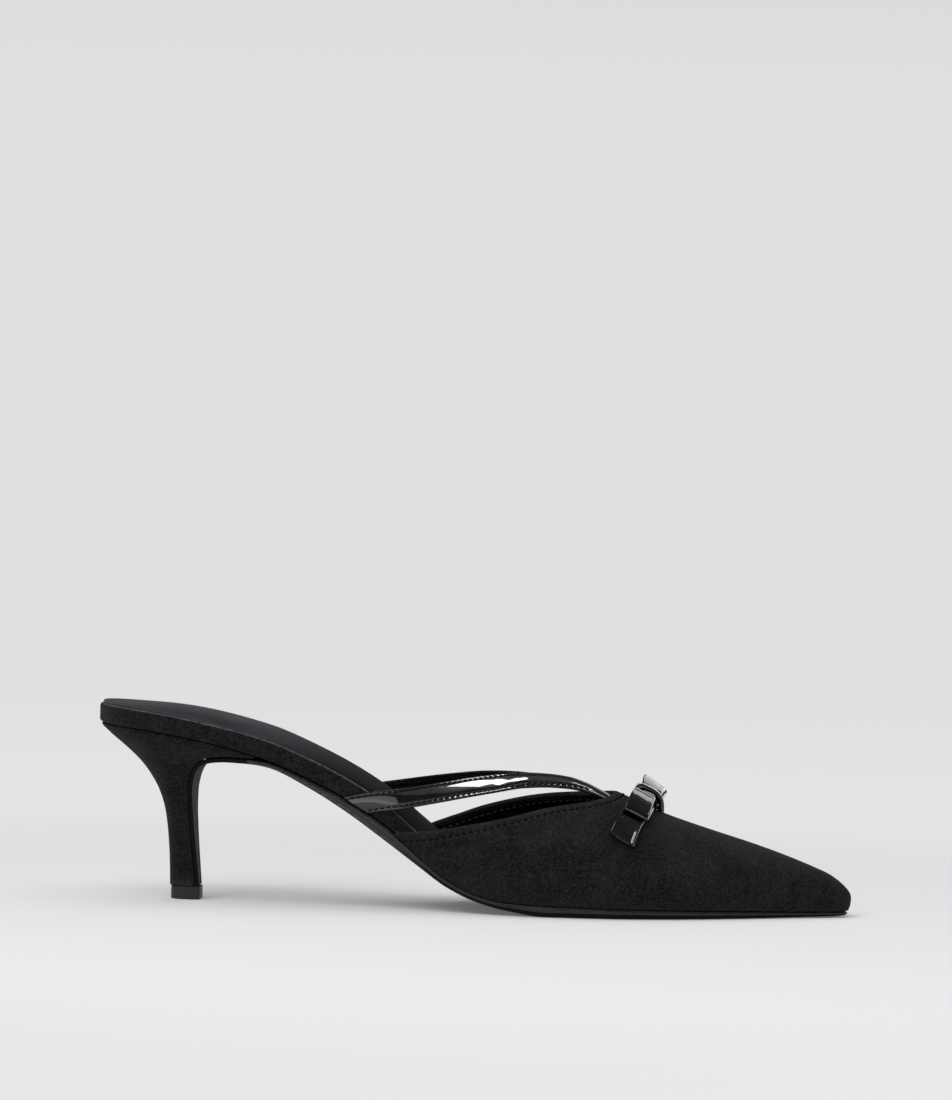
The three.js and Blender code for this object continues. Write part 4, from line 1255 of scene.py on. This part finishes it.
suede, cover = napMaterial("charcoalSuede", suedeLook), napMaterial("blackMicrosuede", coverLook)
patent = patentMaterial("blackPatent", patentLook)
sockLining, blackLining = liningMaterial("sockLining", sockLook), liningMaterial("blackLining", liningLook)
waxedSole, soleUnder = soleMaterial("waxedSoleEdge", waxedLook), soleMaterial("mattSole", underLook)
rubber = rubberMaterial("heelRubber", (0.0085, 0.0082, 0.0096), (0.0165, 0.0158, 0.018))
suedeThread, liningThread, blackThread = [threadMaterial(name) for name in threadLooks]
print("materials made")

# Which CAD node and record slot each piece stands for
finishes = {
    "vamp_suede": (suede, "charcoal_suede", "vamp"), "vamp_lining": (blackLining, "sock_lining", "vamp"),
    "vamp_stitches": (suedeThread, "charcoal_suede", None),
    "vamp_inner_stitches": (liningThread, "sock_lining", None),
    "insole_band": (cover, "black_microsuede", "insole"), "sock_pad": (sockLining, "sock_lining", "sock"),
    "heel_cover": (cover, "black_microsuede", "heel"), "sole_leather": (waxedSole, "sole_leather", "outsole"),
    "top_piece_rubber": (rubber, "heel_rubber", "top_piece"),
    "strap_patent": (patent, "black_patent", "instep_strap"),
    "bow_loop_near": (patent, "black_patent", "bow_loop_outer"),
    "bow_loop_far": (patent, "black_patent", "bow_loop_inner"),
    "bow_tail_ribbon": (patent, "black_patent", "bow_tails"),
    "bow_knot_band": (patent, "black_patent", "bow_knot"),
}
for piece in [o for o in bpy.data.objects if o.type == "MESH" and o.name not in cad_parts]:
    material, slotName, node = finishes.get(piece.name, (blackThread, "black_patent", None))
    piece.data.materials.append(material)
    if node:
        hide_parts(node)
strapPatent.data.materials.append(blackLining)
soleLeather.data.materials.append(soleUnder)

# Floor that turns up into a backdrop all round
stage = {
    "flat": 2.2, "radius": 1.6, "height": 3.4, "spokes": 96, "albedoShare": 1.075, "lift": 0.12,
    "calmFrom": 0.19, "calmTo": 0.52, "nearTone": 0.81, "farTone": 0.745, "nearY": -0.4, "farY": 1.5,
    "sideShare": 0.03, "sideReach": 0.3, "sideNear": 0.1, "sideFar": 0.6, "wallDim": 0.12, "dimFrom": 0.35,
    "dimTo": 1.4,
}


def stageMesh():
    flat, radius = stage["flat"], stage["radius"]
    profile = [(r, 0.0) for r in np.linspace(0, flat, 12)]
    for t in np.linspace(0, np.pi / 2, 14)[1:]:
        profile.append((flat + radius * math.sin(t), radius * (1 - math.cos(t))))
    profile.append((flat + radius, stage["height"]))
    angles = np.linspace(0, 2 * np.pi, stage["spokes"], endpoint=False)
    points = np.array([[(r * math.cos(a), r * math.sin(a), z) for a in angles] for r, z in profile])
    faces = gridFaces(len(profile), stage["spokes"], 0, False, True)[:, ::-1]
    mesh = bpy.data.meshes.new("floor")
    mesh.from_pydata(points.reshape(-1, 3).tolist(), [], faces.tolist())
    mesh.polygons.foreach_set("use_smooth", [True] * len(mesh.polygons))
    return mesh


def floorMaterial():  # pale and nearly even, with a glow away from the shoe; painted light: brighter towards the front and faintly to the right, and near the shoe a share of glow that lightens its shadow
    material, tree, shader = newMaterial("paleFloor", {"Roughness": 0.9, "Specular IOR Level": 0.1})
    where = objectPoint(tree)
    apart = tree.nodes.new("ShaderNodeSeparateXYZ")
    tree.links.new(where, apart.inputs[0])
    across, away, up = [apart.outputs[axis] for axis in "XYZ"]
    depth = ranged(tree, away, stage["nearY"], stage["farY"], stage["nearTone"], stage["farTone"])
    half = stage["sideShare"] / 2
    side = ranged(tree, across, -stage["sideReach"], stage["sideReach"], 1 - half, 1 + half)
    near = ranged(tree, away, stage["sideNear"], stage["sideFar"], 1.0, 0.0)
    tone = mathNode(tree, "MULTIPLY", depth, mathNode(tree, "POWER", side, near))
    albedo = mathNode(tree, "MULTIPLY", tone, stage["albedoShare"])
    glow = tree.nodes.new("ShaderNodeEmission")
    for value, socket in ((albedo, shader.inputs["Base Color"]), (tone, glow.inputs["Color"])):
        grey = tree.nodes.new("ShaderNodeCombineColor")
        for channel in grey.inputs[:3]:
            tree.links.new(value, channel)
        tree.links.new(grey.outputs[0], socket)
    fade = ranged(tree, up, stage["dimFrom"], stage["dimTo"], 1.0, stage["wallDim"])
    tree.links.new(fade, glow.inputs["Strength"])
    span = tree.nodes.new("ShaderNodeVectorMath")
    span.operation = "LENGTH"
    tree.links.new(where, span.inputs[0])
    # painted light: the floor keeps a share of glow even beside the shoe, which lightens its shadow
    calm = ranged(tree, span.outputs["Value"], stage["calmFrom"], stage["calmTo"], stage["lift"])
    both = tree.nodes.new("ShaderNodeMixShader")
    for value, socket in zip((calm, shader.outputs[0], glow.outputs[0]), both.inputs):
        tree.links.new(value, socket)
    tree.links.new(both.outputs[0], tree.nodes["Material Output"].inputs["Surface"])
    return material


def makeStage():
    floor = bpy.data.objects.new("floor", stageMesh())
    bpy.context.scene.collection.objects.link(floor)
    floor.data.materials.append(floorMaterial())


makeStage()

# Soft studio light; some lamps show only in glossy surfaces, or only in the pieces they name
bowNames = ["bow_loop_near", "bow_loop_far", "bow_tail_ribbon", "bow_knot_band"]
lights = {
    "key": {"at": (-0.50, -1.16, 1.45), "size": (1.35, 1.35), "power": 15.5, "seen": (True, False)},
    "frontPanel": {"at": (-0.5, -1.55, 0.55), "size": (1.0, 1.1), "power": 4.5, "seen": (True, True)},
    "backPanel": {"at": (0.98, 1.75, 0.66), "size": (1.5, 0.95), "power": 3.9, "seen": (True, True)},
    "leftPanel": {"at": (-1.56, -0.14, 0.4), "size": (0.5, 0.5), "power": 3.4, "seen": (False, True),
                  "only": bowNames},
    "topStrip": {"at": (0.1, 0.0, 1.7), "size": (1.7, 0.16), "power": 5.3, "seen": (False, True),
                 "only": ["sole_leather", "bow_tail_ribbon"]},
    "leftRim": {"at": (-1.2, 1.0, 1.3), "size": (0.7, 0.7), "power": 4.6, "seen": (False, True)},
    "glint": {"at": (0.62, 0.0, 1.351), "size": (0.45, 0.36), "power": 10.2, "seen": (False, True),
              "only": ["strap_patent"]},
    "spark": {"at": (0.75, 0.3, 1.15), "size": (0.1, 0.1), "power": 0.85, "seen": (False, True),
              "only": ["bow_loop_near"]},
    "bowPanel": {"at": (0.42, 1.2, 1.02), "size": (0.6, 0.26), "power": 0.85, "seen": (False, True),
                 "only": ["bow_loop_near"]},
    "foldPanel": {"at": (-0.1, -1.5, 0.2), "size": (0.9, 0.5), "power": 2.5, "seen": (False, True),
                  "only": ["bow_loop_near"]},
    "strapFill": {"at": (0.3, -0.2, 1.6), "size": (1.7, 1.3), "power": 2.7, "seen": (False, True),
                  "only": ["strap_patent"]},
}
lightAim = (0, 0, 0.04)


def aimed(at, aim):
    return (Vector(aim) - Vector(at)).to_track_quat("-Z", "Y").to_matrix().to_4x4()


for label, light in lights.items():
    lamp = bpy.data.lights.new(label, "AREA")
    lamp.shape = "RECTANGLE"
    lamp.size, lamp.size_y = light["size"]
    lamp.energy = light["power"]
    holder = bpy.data.objects.new(label, lamp)
    bpy.context.scene.collection.objects.link(holder)
    holder.matrix_world = Matrix.Translation(light["at"]) @ aimed(light["at"], lightAim)
    holder.visible_diffuse, holder.visible_glossy = light["seen"]
    if "only" in light:
        lit = bpy.data.collections.new(f"lit by {label}")
        for name in light["only"]:
            lit.objects.link(bpy.data.objects[name])
        holder.light_linking.receiver_collection = lit

world = bpy.data.worlds.new("studio")
bpy.context.scene.world = world
world.use_nodes = True
world.node_tree.nodes["Background"].inputs["Color"].default_value = (0.97, 0.98, 1.0, 1)
path = world.node_tree.nodes.new("ShaderNodeLightPath")
dimmed = ranged(world.node_tree, path.outputs["Is Glossy Ray"], 0.0, 1.0, 0.92, 0.09)
world.node_tree.links.new(dimmed, world.node_tree.nodes["Background"].inputs["Strength"])

bpy.context.scene.view_settings.view_transform = "Standard"
print("light set")
